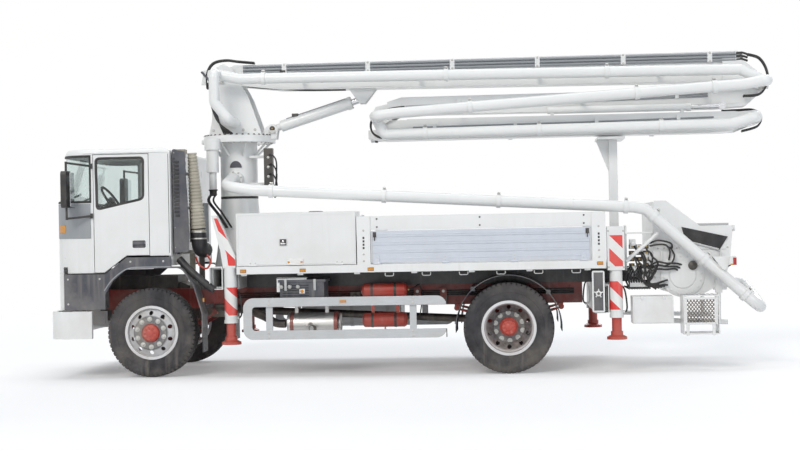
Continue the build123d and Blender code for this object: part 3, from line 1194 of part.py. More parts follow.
with BuildPart() as boom_section_2:
    half, y = section_half[2], pipe_y[1]
    section_box([(ax - 200, az - 45), (ax - 45, az + 55), (ax + 50, az - 60), (ax, az - 96),
                 (ax - 200, az - 270), (ax - 560, az - 290), (bx + 120, bz + 48),
                 (bx + 120, bz + 210), (bx + 300, bz + 265)], half)
    hinge_boss(ax, az, boom_pin_radius + 40, -half, half, boom_pin_radius)
    for s in (-1, 1):
        plate([(bx + 300, bz + 180), (bx + 300, bz + 50), (bx + 80, bz - 70), (bx - 60, bz - 66),
               (bx - 86, bz + 30), (bx - 20, bz + 150), (bx + 120, bz + 180)],
              s * half, s * fork_y[1])
        plate([(ax - 150, az - 80), (ax - 150, az - 220), (ax - 620, az - 262),
               (ax - 620, az - 110)], s * half, s * (half + doubler))
    pin_y(bx, bz, boom_pin_radius, -fork_y[1], fork_y[1])
    run_start, run_end = (ax - 300, y, az - 45), (bx + 250, y, bz + 30)
    pipe([(ax, swivel_y[1], az), (ax, y, az), run_start, run_end, (bx, y, bz),
          (bx, swivel_y[2] - swivel_gap, bz)], section_pipe_radius, pipe_bend)
    for share in (0.08, 0.3, 0.78):
        pipe_collar(run_start, run_end, share, section_pipe_radius)
    for share in (0.11, 0.46, 0.82):
        x, _, z = between(run_start, run_end, share)
        block(x, x + 30, y + 40, -half, z - 20, z + 20)
    boom_barrel(3, half - 2)
save(boom_section_2, "boom_section_2")

with BuildPart() as boom_section_3:
    half, y = section_half[3], pipe_y[2]
    side_y = section_3_y - half    # the box's outer face
    section_box([(bx + 60, bz - 260), (bx + 60, bz - 95), (bx + 310, bz - 90), (bx + 380, bz - 20),
                 (cx - 250, cz + 80), (cx - 90, cz + 60), (cx - 90, cz - 70), (cx - 250, cz - 160),
                 (cx - 550, cz - 180), (bx + 170, bz - 280)], half, section_3_y)
    # the tongue between the fork of section 2, with its boss
    tongue = 134
    block(bx - 40, bx + 350, -tongue, tongue, bz - 85, bz - 20)
    hinge_boss(bx, bz, boom_pin_radius + 22, -tongue, tongue, boom_pin_radius)
    pin_y(cx, cz, boom_pin_radius + 46, side_y, -8)
    plate([(cx - 250, cz + 70), (cx, cz + 85), (cx, cz - 85), (cx - 250, cz - 140)], side_y, -8)
    pin_y(cx, cz, boom_pin_radius, section_3_y, section_4_y + section_half[4])
    run_start, run_end = (bx + 100, y, cz - 115), (cx - 300, y, cz - 85)
    pipe([(bx, swivel_y[2], bz), (bx, y, bz), run_start, run_end, (cx, y, cz), (cx, side_y, cz)],
         section_pipe_radius, pipe_bend)
    for share in (0.12, 0.45, 0.8):
        pipe_collar(run_start, run_end, share, section_pipe_radius)
    for share in (0.16, 0.52, 0.87):
        x, _, z = between(run_start, run_end, share)
        block(x, x + 30, y + 50, side_y, z - 20, z + 20)
    boom_barrel(4, cz + 78)
save(boom_section_3, "boom_section_3")

with BuildPart() as boom_section_4:
    half, y = section_half[4], pipe_y[3]
    side_y = section_4_y + half
    section_box([(cx - 150, cz + 60), (cx, cz + 80), (cx, cz - 80), (cx - 200, cz - 160),
                 (boom_tip_x + 240, cz - 170), (boom_tip_x, cz - 140), (boom_tip_x, cz - 30),
                 (boom_tip_x + 540, cz - 5), (cx - 1650, cz + 60)], half, section_4_y)
    hinge_boss(cx, cz, boom_pin_radius + 42, 8, side_y, boom_pin_radius)
    run_start, run_end = (cx - 300, y, cz - 90), (boom_tip_x, y, cz - 90)
    pipe([(cx, side_y, cz), (cx, y, cz), run_start, run_end], section_pipe_radius, pipe_bend)
    # the end collar for the placing hose
    bar(run_end, (boom_tip_x + 60, y, cz - 90), section_pipe_radius + 10)
    for share in (0.2, 0.6):
        pipe_collar(run_start, run_end, share, section_pipe_radius)
    for share in (0.17, 0.52, 0.86):
        x, _, z = between(run_start, run_end, share)
        block(x, x + 30, side_y, y - 50, z - 20, z + 20)
save(boom_section_4, "boom_section_4")

for number, c in BOOM_CYLINDERS.items():
    way = 1 if c["eye"] > c["barrel"][0] else -1
    with BuildPart() as boom_rod:
        bar((c["barrel"][0] + way * 210, c["y"], c["z"]), (c["eye"], c["y"], c["z"]), c["rod_r"])
        eye_half = c["rod_r"] + 5
        pin_y(c["eye"], c["z"], 42, c["y"] - eye_half, c["y"] + eye_half)
    save(boom_rod, f"boom_cylinder_rod_{number}")

# ---------------------------------------------------------------- lift cylinder
lift_length = sqrt((lift_eye[0] - lift_lug[0]) ** 2 + (lift_eye[1] - lift_lug[1]) ** 2)
lift_barrel_radius = 72
lift_rod_radius = 42
lift_eye_half = lug_y[0] - 12


def lift_point(distance):
    """A point on the lift cylinder's axis, at a distance from its lower pin."""
    x, z = along(lift_lug, lift_eye, distance)
    return (x, 0, z)


with BuildPart() as lift_cylinder_barrel:
    bar(lift_point(0), lift_point(150), lift_rod_radius + 2)
    pin_y(*lift_lug, lift_pin_radius + 26, -lift_eye_half, lift_eye_half)
    bar(lift_point(108), lift_point(lift_length - 150), lift_barrel_radius)
    bar(lift_point(lift_length - 210), lift_point(lift_length - 150), lift_barrel_radius + 10)
    bar(lift_point(160), lift_point(lift_length - 149), lift_rod_radius + rod_gap, Mode.SUBTRACT)
    pin_y(*lift_lug, lift_pin_radius + running_gap, -lift_eye_half - 1, lift_eye_half + 1,
          Mode.SUBTRACT)
save(lift_cylinder_barrel, "lift_cylinder_barrel")

with BuildPart() as lift_cylinder_rod:
    bar(lift_point(170), lift_point(lift_length), lift_rod_radius)
    pin_y(*lift_eye, lift_pin_radius + 18, -lift_eye_half, lift_eye_half)
    pin_y(*lift_eye, lift_pin_radius, -lift_eye_half - 1, lift_eye_half + 1, Mode.SUBTRACT)
save(lift_cylinder_rod, "lift_cylinder_rod")

# ---------------------------------------------------------------- rear box and step
rear_rail_z = rail_bottom_z - 230
box_x = (hopper_front_x - 285, hopper_front_x + 185)
cage_x = (hopper_front_x + 300, hopper_front_x + 720)
cage_y = (50 - half_width, 410 - half_width)
cage_z = (rear_rail_z - 130, rear_rail_z + 330)
with BuildPart() as rear_step:
    # the closed box and the open step cage on the left
    block(*box_x, 40 - half_width, 410 - half_width, rear_rail_z + 5, rear_rail_z + 325)
    block(*cage_x, *cage_y, cage_z[0], cage_z[0] + 15)
    for x in (cage_x[0], cage_x[1] - 12):
        block(x, x + 12, *cage_y, cage_z[0] + 15, cage_z[1])
    for z in (rear_rail_z + 80, cage_z[1] - 12):
        block(*cage_x, cage_y[0], cage_y[0] + 12, z, z + 12)
    for s in (-1, 1):
        rail_y = s * (hopper_half + 20)
        bar((box_x[0] + 5, rail_y, rear_rail_z + 30), (bin_rear_x - 85, rail_y, rear_rail_z - 10),
            30)
        post = bin_rear_x - 185
        bar((post, rail_y, rear_rail_z), (post, rail_y, rear_rail_z + 340), 24)
        block(post - 40, post + 40, s * hopper_half, s * (hopper_half + 50),
              rear_rail_z + 340, rear_rail_z + 500)
        # the lamp arms and their lamps
        block(bin_rear_x - 95, bin_rear_x - 55, s * hopper_half, s * (half_width - 90),
              deck_z - 40, deck_z + 40)
        block(bin_rear_x - 55, bin_rear_x - 25, s * (half_width - 230), s * (half_width - 100),
              deck_z - 35, deck_z + 35)
save(rear_step, "rear_step")
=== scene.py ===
"""The looks of a concrete pump truck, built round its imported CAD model. Metres, in the CAD's
frame: the front towards -X, the driver's side (left) towards -Y, +Z up, the ground at 0."""

import json
from math import atan2, cos, pi, radians, sin

import bmesh
import bpy
from mathutils import Matrix, Vector


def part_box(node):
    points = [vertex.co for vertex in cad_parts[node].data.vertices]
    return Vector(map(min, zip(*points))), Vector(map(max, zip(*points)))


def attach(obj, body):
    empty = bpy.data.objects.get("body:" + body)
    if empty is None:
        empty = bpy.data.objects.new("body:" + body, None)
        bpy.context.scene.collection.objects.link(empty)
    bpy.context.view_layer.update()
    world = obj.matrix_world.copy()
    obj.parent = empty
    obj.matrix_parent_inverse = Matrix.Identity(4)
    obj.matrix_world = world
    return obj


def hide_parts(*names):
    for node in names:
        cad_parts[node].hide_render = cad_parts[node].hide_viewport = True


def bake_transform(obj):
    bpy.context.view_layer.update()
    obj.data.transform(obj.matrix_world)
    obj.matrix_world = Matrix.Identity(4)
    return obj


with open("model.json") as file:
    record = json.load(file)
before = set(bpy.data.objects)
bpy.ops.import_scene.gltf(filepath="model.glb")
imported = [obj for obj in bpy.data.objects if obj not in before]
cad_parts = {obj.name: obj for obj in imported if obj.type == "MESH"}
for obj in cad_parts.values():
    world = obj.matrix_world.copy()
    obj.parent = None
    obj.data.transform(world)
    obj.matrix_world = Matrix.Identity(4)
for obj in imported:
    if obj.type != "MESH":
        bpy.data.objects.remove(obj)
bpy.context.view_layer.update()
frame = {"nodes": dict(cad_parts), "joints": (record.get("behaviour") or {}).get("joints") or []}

nodes = frame["nodes"]
pivots = {j["name"]: Vector(j["pos_m"]) for j in frame["joints"] if "pos_m" in j}
LEFT, RIGHT = -1, 1
SIDES = (("left", LEFT), ("right", RIGHT))
UP, DOWN, TO_LEFT, TO_FRONT, TO_REAR = (0, 0, 1), (0, 0, -1), (0, -1, 0), (-1, 0, 0), (1, 0, 0)
fine, thin, soft = 0.0008, 0.001, 0.002        # widths of rounded edges


def low(node):
    """A CAD node's lowest corner."""
    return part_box(node)[0]


def high(node):
    """A CAD node's highest corner."""
    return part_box(node)[1]


def middle(node):
    """The middle of a CAD node's box."""
    a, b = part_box(node)
    return (a + b) / 2


# ------------------------------ camera
camera_spot = Vector((1.207, -19.0, 1.7165))
camera_pan = radians(4.406)        # towards the front of the truck
camera_tilt = radians(0.18)
camera_roll = radians(-1.11)
camera_lens = 67.77

camera = bpy.data.objects.new("camera", bpy.data.cameras.new("camera"))
camera.data.lens = camera_lens
camera.data.clip_end = 200
camera.matrix_world = (Matrix.Translation(camera_spot) @ Matrix.Rotation(camera_pan, 4, "Z")
                       @ Matrix.Rotation(pi / 2 + camera_tilt, 4, "X")
                       @ Matrix.Rotation(camera_roll, 4, "Z"))
scene = bpy.context.scene
scene.collection.objects.link(camera)
scene.camera = camera
scene.view_settings.view_transform = "Standard"


# ------------------------------ materials
class Surface:
    """A procedural material: a Principled shader, and nodes that short calls add to it."""

    def __init__(self, name, **sockets):
        self.material = bpy.data.materials.new(name)
        self.material.use_nodes = True
        self.tree = self.material.node_tree
        self.shader = self.tree.nodes["Principled BSDF"]
        for key, value in sockets.items():
            socket = key.replace("_", " ").title().replace("Ior", "IOR")
            self.shader.inputs[socket].default_value = value
        self.place = self.add("TexCoord").outputs["Object"]

    def add(self, kind, inputs=(), **settings):
        """A shader node, its inputs given by name or number, as values or as other sockets."""
        node = self.tree.nodes.new("ShaderNode" + kind)
        for key, value in settings.items():
            setattr(node, key, value)
        for key, value in dict(inputs).items():
            if isinstance(value, bpy.types.NodeSocket):
                self.tree.links.new(value, node.inputs[key])
            else:
                node.inputs[key].default_value = value
        return node

    def noise(self, scale, stretch=(1, 1, 1), detail=4, roughness=0.55):
        """Cloudy noise from 0 to 1, its grain about 1 / scale metres."""
        place = self.add("Mapping", {"Vector": self.place, "Scale": stretch}).outputs[0]
        return self.add("TexNoise", {"Vector": place, "Scale": scale, "Detail": detail,
                                     "Roughness": roughness}).outputs["Fac"]

    def span(self, value, start, end, low=0.0, high=1.0):
        """value, from start to end, taken to low to high and held there."""
        return self.add("MapRange", {0: value, 1: start, 2: end, 3: low, 4: high}).outputs[0]

    def maths(self, operation, a, b=0.0):
        return self.add("Math", {0: a, 1: b}, operation=operation).outputs[0]

    def mix(self, share, a, b):
        """Colour a turning to colour b as share goes from 0 to 1."""
        a, b = (c if isinstance(c, bpy.types.NodeSocket) else (*c, 1) for c in (a, b))
        return self.add("Mix", {0: share, 6: a, 7: b}, data_type="RGBA").outputs[2]

    def axis(self, name):
        """One coordinate of the place: X, Y or Z."""
        return self.add("SeparateXYZ", {0: self.place}).outputs[name]

    def far_from(self, centre, across="Y"):
        """The distance from a line through centre that runs along one axis."""
        from_centre = self.add("VectorMath", {0: self.place, 1: centre}, operation="SUBTRACT")
        flat = Vector((1, 1, 1))
        flat["XYZ".index(across)] = 0
        flattened = self.add("VectorMath", {0: from_centre.outputs[0], 1: flat},
                             operation="MULTIPLY")
        return self.add("VectorMath", {0: flattened.outputs[0]}, operation="LENGTH").outputs[1]

    def colour(self, socket):
        self.tree.links.new(socket, self.shader.inputs["Base Color"])

    def rough(self, socket):
        self.tree.links.new(socket, self.shader.inputs["Roughness"])

    def relief(self, height, depth, strength=1.0, rounding=0.0):
        """A bump from height, depth metres deep, on edges that shade as if rounded."""
        inputs = {"Height": height, "Distance": depth, "Strength": strength}
        if rounding:
            inputs["Normal"] = self.add("Bevel", {"Radius": rounding}, samples=4).outputs[0]
        bump = self.add("Bump", inputs)
        self.tree.links.new(bump.outputs[0], self.shader.inputs["Normal"])


dust = (0.46, 0.41, 0.34)


def grime(surface, low_z=0.35, high_z=2.2, most=0.6, least=0.06):
    """A share of dirt that grows towards the ground, in clouds and in runs down the sides."""
    clouds = surface.span(surface.noise(2.3, detail=7, roughness=0.62), 0.42, 0.68)
    runs = surface.span(surface.noise(11, (1, 1, 0.07), 5), 0.5, 0.74)
    patches = surface.maths("MAXIMUM", clouds, runs)
    amount = surface.span(surface.axis("Z"), low_z, high_z, most, least)
    return surface.maths("MULTIPLY", patches, amount)


def paint(name, colour, roughness, dirt):
    """Sprayed enamel with orange peel, road dirt and dulled patches."""
    s = Surface(name, metallic=0.0, coat_weight=0.3, coat_roughness=0.12)
    shade = s.span(s.noise(0.9, detail=3), 0.3, 0.7)
    clean = s.mix(shade, [0.94 * c for c in colour], colour)
    dirty = grime(s, most=dirt, least=dirt * 0.1)
    s.colour(s.mix(dirty, clean, dust))
    s.rough(s.span(s.maths("ADD", dirty, s.noise(6, detail=5)), 0.3, 1.2, roughness, 0.75))
    s.relief(s.noise(420, detail=1), 0.0003, 0.25, 0.004)
    return s.material


def plastic(name, colour, roughness, dirt, grain=900):
    """Moulded plastic: fine grain, and dust on it."""
    s = Surface(name, specular_ior_level=0.4)
    pale = [min(1, c * 1.45 + 0.01) for c in colour]
    worn = s.mix(s.span(s.noise(3, detail=6), 0.4, 0.7), colour, pale)
    s.colour(s.mix(grime(s, 0.3, 2.8, dirt, dirt * 0.2), worn, dust))
    s.rough(s.span(s.noise(14), 0.3, 0.7, roughness - 0.08, roughness + 0.12))
    s.relief(s.noise(grain, detail=2), 0.0004, 0.4, 0.004)
    return s.material


def metal(name, colour, roughness, brushed, dirt, metallic=0.9):
    """Bare metal: brush or rolling marks, dull patches and a little dirt."""
    s = Surface(name, metallic=metallic)
    marks = s.noise(34, brushed, 6, 0.7)
    shade = s.mix(s.span(marks, 0.35, 0.65), [0.8 * c for c in colour], colour)
    blotch = s.span(s.noise(1.6, detail=6, roughness=0.65), 0.4, 0.66, 0, 0.35)
    dull = s.mix(blotch, shade, [0.72 * c for c in colour])
    s.colour(s.mix(grime(s, 0.3, 1.8, dirt, dirt * 0.15), dull, dust))
    s.rough(s.span(s.maths("ADD", marks, blotch), 0.4, 1.1, roughness, roughness + 0.28))
    s.relief(marks, 0.0004, 0.35, 0.003)
    return s.material


def rubber(name, colour, roughness, dirt, top=1.3):
    """Rubber with a dry bloom, and dust low down."""
    s = Surface(name, specular_ior_level=0.35)
    bloom = s.mix(s.span(s.noise(5, detail=7, roughness=0.7), 0.35, 0.72), colour,
                  [c * 2.1 + 0.012 for c in colour])
    s.colour(s.mix(grime(s, 0.0, top, dirt, 0.08), bloom, dust))
    s.rough(s.span(s.noise(40), 0.3, 0.7, roughness - 0.1, roughness + 0.12))
    s.relief(s.noise(260, detail=3), 0.0006, 0.4)
    return s.material


def lens(name, colour, roughness=0.12):
    """A coloured lamp lens or reflector with its moulded prisms."""
    s = Surface(name, roughness=roughness, coat_weight=0.6, coat_roughness=0.05)
    prisms = s.add("TexVoronoi", {"Vector": s.place, "Scale": 160.0}).outputs["Distance"]
    s.colour(s.mix(s.span(prisms, 0.0, 0.6), colour, [0.62 * c for c in colour]))
    s.relief(prisms, 0.0008, 0.5)
    return s.material


def window_glass(name, colour):
    """Thin clear glass, a little streaked."""
    s = Surface(name, ior=1.45, transmission_weight=1.0)
    s.colour(s.mix(s.span(s.noise(1.5), 0.3, 0.7), colour, [0.96 * c for c in colour]))
    s.rough(s.span(s.noise(3, (1, 1, 0.3), 6), 0.45, 0.8, 0.0, 0.1))
    return s.material


def stripes(name, way=1.0):
    """Warning stripes that lean at 45 degrees across a side face."""
    s = Surface(name, roughness=0.32, coat_weight=0.3)
    red_stripe, white_stripe, period = (0.78, 0.035, 0.03), (0.86, 0.86, 0.84), 0.3
    lean = s.maths("MULTIPLY", s.axis("X"), way)
    along = s.maths("DIVIDE", s.maths("ADD", s.axis("Z"), lean), period)
    band = s.maths("FRACT", along)
    share = s.span(band, 0.495, 0.505)
    plain = s.mix(share, red_stripe, white_stripe)
    s.colour(s.mix(grime(s, most=0.4, least=0.05), plain, dust))
    s.relief(s.noise(300), 0.0003, 0.3, 0.003)
    return s.material


def wheel_paint(name, centre, ring_radius):
    """A silver rim, its bolted ring a mottled dark grey as painted shade, round a red hub."""
    s = Surface(name, metallic=0.25, coat_weight=0.15)
    hub, rim, hub_radius = (0.52, 0.055, 0.035), (0.7, 0.7, 0.71), 0.112
    away = s.far_from(centre)
    # painted shade: the bolted ring is a mottled dark grey
    ring_painted_shade = s.mix(s.span(s.noise(24, detail=6), 0.35, 0.65), (0.1, 0.1, 0.105),
                   (0.22, 0.22, 0.225))
    ring = s.mix(s.span(away, ring_radius - 0.006, ring_radius + 0.012), ring_painted_shade, rim)
    painted = s.mix(s.span(away, hub_radius - 0.001, hub_radius + 0.001), hub, ring)
    s.colour(s.mix(grime(s, 0.1, 1.1, 0.6, 0.25), painted, dust))
    s.rough(s.span(s.noise(12, detail=5), 0.3, 0.7, 0.32, 0.6))
    s.relief(s.noise(350), 0.0004, 0.3, 0.003)
    return s.material


def two_tone(name, first, second, start):
    """Two plastic colours in one piece: first up to a place along X, then second. On the intake the
    dark first colour is painted shade.
    """
    s = Surface(name)
    share = s.span(s.axis("X"), start - 0.0005, start + 0.0005)
    grain = s.span(s.noise(9, detail=6), 0.35, 0.7, 0.75, 1.15)
    both = s.mix(share, first, second)
    shaded = s.add("VectorMath", {0: both, 3: grain}, operation="SCALE").outputs[0]
    s.colour(s.mix(grime(s, 0.5, 3.2, 0.4, 0.12), shaded, dust))
    s.rough(s.span(s.noise(20), 0.3, 0.7, 0.5, 0.75))
    s.relief(s.noise(500, detail=2), 0.0005, 0.4, 0.003)
    return s.material


def enamel_with_painted_shade_below(name, colour, under, low_z, reach):
    """Enamel on a frame whose members below low_z, nearer the middle than reach, are dark: painted
    shade of the shadow under the deck.
    """
    s = Surface(name, coat_weight=0.2, roughness=0.35)
    below = s.span(s.axis("Z"), low_z - 0.001, low_z + 0.001, 1, 0)
    sideways = s.maths("ABSOLUTE", s.axis("Y"))
    inside_reach = s.span(sideways, reach - 0.001, reach + 0.001, 1, 0)
    both = s.maths("MULTIPLY", below, inside_reach)
    # the dark colour of the low inner members is painted shade; the dust over it is real
    dirty = s.mix(grime(s, most=0.28, least=0.03), s.mix(both, colour, under), dust)
    s.colour(dirty)
    s.relief(s.noise(420, detail=1), 0.0003, 0.25, 0.004)
    return s.material


white_colour = (0.84, 0.845, 0.835)
red_colour = (0.5, 0.05, 0.03)
white = paint("white_enamel", white_colour, 0.26, 0.28)
red = paint("red_enamel", red_colour, 0.34, 0.25)
# a darker copy of the red enamel: painted shade for the chassis frame, front axle and other red
# parts low in the truck's shadow
red_frame_painted_shade = paint("red_frame_enamel", (0.26, 0.026, 0.02), 0.45, 0.38)
grey_paint = paint("grey_enamel", (0.3, 0.32, 0.34), 0.4, 0.5)
black_paint = paint("black_enamel", (0.022, 0.022, 0.024), 0.38, 0.5)
dark_plastic = plastic("dark_grey_plastic", (0.07, 0.073, 0.088), 0.52, 0.42)
black_plastic = plastic("black_plastic", (0.022, 0.022, 0.024), 0.45, 0.3)
beige_rubber = plastic("beige_duct_rubber", (0.42, 0.39, 0.32), 0.7, 0.35, 300)
aluminium = metal("rolled_aluminium", (0.62, 0.66, 0.73), 0.4, (0.3, 9, 22), 0.28, 0.62)
mill_aluminium = metal("mill_aluminium", (0.56, 0.58, 0.6), 0.4, (0.25, 6, 12), 0.25, 0.7)
galvanised = metal("galvanised_steel", (0.5, 0.51, 0.52), 0.48, (1, 1, 1), 0.4, 0.75)
dark_steel = metal("oily_steel", (0.085, 0.08, 0.078), 0.42, (1, 1, 1), 0.55, 0.7)
bolt_steel = metal("zinc_plated_steel", (0.6, 0.6, 0.58), 0.3, (1, 1, 1), 0.25)
chrome = metal("hard_chrome", (0.82, 0.83, 0.85), 0.1, (0.2, 8, 8), 0.05, 1.0)
brass = metal("brass", (0.62, 0.43, 0.16), 0.3, (1, 1, 1), 0.2)
silver = metal("aluminised_steel", (0.78, 0.78, 0.77), 0.36, (0.4, 2, 2), 0.3, 0.8)
tyre_rubber = rubber("tyre_rubber", (0.026, 0.025, 0.028), 0.78, 0.3, 1.15)
black_rubber = rubber("hose_rubber", (0.014, 0.014, 0.016), 0.45, 0.12, 2.2)
seal_rubber = rubber("seal_rubber", (0.018, 0.018, 0.019), 0.6, 0.15, 2.4)
amber = lens("amber_lens", (0.9, 0.36, 0.015))
red_lens = lens("red_lens", (0.62, 0.02, 0.02))
clear_lens = lens("clear_lens", (0.8, 0.82, 0.84), 0.08)
glass = window_glass("window_glass", (0.8, 0.86, 0.85))
warning = stripes("warning_stripes")
warning_mirrored = stripes("warning_stripes_other_way", way=-1.0)
interior = plastic("cab_trim", (0.085, 0.088, 0.1), 0.6, 0.15, 600)


def coat(material, *names):
    """Gives CAD nodes their one material."""
    for name in names:
        mesh = nodes[name].data
        mesh.materials.clear()
        mesh.materials.append(material)


coat(white, "front_bumper", "tool_cabinet", "tool_cabinet_door", "hopper", "delivery_line",
     "rear_step", "cab_shell", "turret", "lift_cylinder_barrel")
coat(red_frame_painted_shade, "chassis_frame", "front_axle")
coat(red, "rear_axle", "air_tanks")
coat(dark_steel, "drivetrain", "pump_unit", "agitator")
coat(dark_plastic, "mudguards", "battery_box")
coat(mill_aluminium, "side_guards", "side_tanks")
coat(silver, "muffler")
coat(glass, "cab_glass")
coat(interior, "cab_interior")
coat(black_plastic, "mirrors")
coat(chrome, "lift_cylinder_rod")
coat(galvanised, "hopper_grate")
# the low inner members of the pump frame and the deck are dark with painted shade
coat(enamel_with_painted_shade_below("pump_frame_enamel_painted_shade", white_colour, (0.035, 0.036, 0.042), 1.2051, 0.44),
     "pump_frame")
coat(enamel_with_painted_shade_below("deck_enamel_painted_shade", white_colour, (0.045, 0.047, 0.055), 1.2895, 1.204), "deck")
# the intake panel's dark colour is painted shade of the cab's rear wall; the duct is beige rubber
intake_panel_rear = low("intake_stack").x + 0.029
coat(two_tone("intake_panel_painted_shade_and_duct", (0.05, 0.052, 0.062), (0.44, 0.41, 0.34),
              intake_panel_rear), "intake_stack")
for side_name, _ in SIDES:
    coat(white, f"cab_door_{side_name}")
    coat(glass, f"door_glass_{side_name}")
    coat(red_frame_painted_shade, f"steering_knuckle_{side_name}")
    coat(aluminium, f"dropside_{side_name}")
    for end, grey_ring in (("front", 0.205), ("rear", 0.272)):
        spin = pivots[f"{end}_wheel_spin_{side_name}"]
        coat(wheel_paint(f"{end}_wheel_{side_name}", spin, ring_radius=grey_ring),
             f"{end}_rim_{side_name}")
        coat(tyre_rubber, f"{end}_tyre_{side_name}")
        coat(white, f"support_beam_{end}_{side_name}")
        coat(red, f"support_jack_{end}_{side_name}")
coat(white, *(f"boom_section_{number}" for number in (1, 2, 3, 4)))
coat(chrome, *(f"boom_cylinder_rod_{number}" for number in (2, 3, 4)))


# ------------------------------ making shapes
def rounded(points, radius, closed=False):
    """A path whose corners are turned into curves that start radius before them."""
    points = [Vector(p) for p in points]
    count, path, steps = len(points), [], 5
    for i, p in enumerate(points):
        if not closed and i in (0, count - 1):
            path.append(p)
            continue
        before, after = points[i - 1] - p, points[(i + 1) % count] - p
        a = p + before.normalized() * min(radius, before.length / 2)
        b = p + after.normalized() * min(radius, after.length / 2)
        for k in range(steps + 1):
            t = k / steps
            path.append(a * (1 - t) ** 2 + p * 2 * t * (1 - t) + b * t * t)
    return path


def circle(centre, side, other, radius, steps):
    """Points round centre, in the plane of side and other."""
    return [centre + (side * cos(2 * pi * i / steps) + other * sin(2 * pi * i / steps)) * radius
            for i in range(steps)]


class Shape:
    """Closed forms gathered into one mesh, each in the material that use() named last."""

    def __init__(self, material):
        self.mesh = bmesh.new()
        self.materials = []
        self.use(material)

    def use(self, material):
        if material not in self.materials:
            self.materials.append(material)
        self.index = self.materials.index(material)
        return self

    def face(self, points):
        made = self.mesh.faces.new(points)
        made.material_index = self.index
        return made

    def skin(self, rings, closed=False):
        """Joins rings of points, one after another, into a skin: with flat ends, or closed."""
        made = [[self.mesh.verts.new(p) for p in ring] for ring in rings]
        count = len(made[0])
        for a, b in zip(made, made[1:] + (made[:1] if closed else [])):
            for i in range(count):
                j = (i + 1) % count
                self.face((a[i], a[j], b[j], b[i]))
        if not closed:
            self.face(made[0][::-1])
            self.face(made[-1])
        return self

    def box(self, a, b):
        """A block between two corners."""
        (x0, y0, z0), (x1, y1, z1) = a, b
        return self.skin([[(x0, y0, z), (x1, y0, z), (x1, y1, z), (x0, y1, z)] for z in (z0, z1)])

    def prism(self, outline, y0, y1):
        """A side outline in X, Z made solid from y0 to y1."""
        return self.skin([[(x, y, z) for x, z in outline] for y in (y0, y1)])

    def turned(self, start, way, profile, steps=24):
        """A profile of (distance along, radius) turned round a line from start."""
        start, way = Vector(start), Vector(way).normalized()
        side = way.orthogonal().normalized()
        return self.skin([circle(start + way * d, side, way.cross(side), r, steps)
                          for d, r in profile])

    def rod(self, start, end, radius, steps=14):
        start, end = Vector(start), Vector(end)
        return self.turned(start, end - start, [(0, radius), ((end - start).length, radius)],
                           steps)

    def tube(self, points, radius, steps=10, smooth=6, closed=False):
        """A round tube on a smooth curve through the points."""
        points = [Vector(p) for p in points]
        path = []
        for i in range(len(points) - 1 if smooth > 1 else 0):
            p0, p1 = points[max(i - 1, 0)], points[i]
            p2, p3 = points[i + 1], points[min(i + 2, len(points) - 1)]
            for k in range(smooth):
                t = k / smooth
                path.append(0.5 * (2 * p1 + (p2 - p0) * t + (2 * p0 - 5 * p1 + 4 * p2 - p3) * t * t
                                   + (3 * p1 - p0 - 3 * p2 + p3) * t ** 3))
        path = path + [points[-1]] if path else points
        rings, side, last = [], None, len(path) - 1
        for i, p in enumerate(path):
            after = path[(i + 1) % len(path) if closed else min(i + 1, last)]
            way = (after - path[i - 1 if closed else max(i - 1, 0)]).normalized()
            side = (way.orthogonal() if side is None else side - way * side.dot(way)).normalized()
            rings.append(circle(p, side, way.cross(side), radius, steps))
        return self.skin(rings, closed)

    def band(self, path, normal, width, thick, closed=False):
        """A flat strip along a path: width across it, thick along normal."""
        path, normal = [Vector(p) for p in path], Vector(normal).normalized()
        rings, last = [], len(path) - 1
        for i, p in enumerate(path):
            after = path[(i + 1) % len(path)] if closed or i < last else p
            before = path[i - 1] if closed or i else p
            across = (after - before).cross(normal).normalized() * (width / 2)
            lift = normal * (thick / 2)
            rings.append([p - across - lift, p + across - lift, p + across + lift,
                          p - across + lift])
        return self.skin(rings, closed)

    def frame(self, a, b, out, corner, width, thick):
        """A closed band round the upright rectangle between two corners, rounded at each."""
        (x0, y0, z0), (x1, y1, z1) = a, b
        points = [(x0, y0, z0), (x1, y1, z0), (x1, y1, z1), (x0, y0, z1)]
        return self.band(rounded(points, corner, True), out, width, thick, True)

    def wire(self, points, radius, corner=0.05, steps=10):
        """A round rod bent through the points, its corners rounded."""
        return self.tube(rounded(points, corner), radius, steps, 1)

    def collar(self, spot, way, inner, outer, wide, steps):
        """A strap round a tank or a sleeve, between two radii."""
        return self.turned(spot, way, [(0, inner), (0, outer), (wide, outer), (wide, inner)], steps)

    def disc(self, spot, way, radius, thick, steps=24):
        """A round plate or lamp with a rounded rim."""
        return self.turned(spot, way, [(0, radius), (thick * 0.7, radius),
                                       (thick, radius - thick * 0.5)], steps)

    def bolt(self, spot, way, size=0.012, washer=True, stud=0.0):
        """A hexagon head on a washer, size its width across, with a stud end if one shows."""
        spot, way = Vector(spot), Vector(way).normalized()
        washer_radius, washer_top, head_radius = size * 0.95, size * 0.14, size * 0.57
        if washer:
            self.turned(spot, way, [(0, washer_radius), (washer_top, washer_radius)], 12)
        self.turned(spot + way * size * 0.13, way,
                    [(0, head_radius), (size * 0.5, head_radius), (size * 0.58, size * 0.46)], 6)
        if stud:
            self.rod(spot, spot + way * stud, size * 0.3, 8)
        return self

    def bolt_circle(self, centre, way, radius, count, size, start=0.0, stud=0.0, washer=True):
        """Bolts on a circle, the first at the angle start."""
        centre, way = Vector(centre), Vector(way).normalized()
        side = way.orthogonal().normalized()
        other = way.cross(side)
        for i in range(count):
            a = start + 2 * pi * i / count
            self.bolt(centre + (side * cos(a) + other * sin(a)) * radius, way, size, washer, stud)
        return self

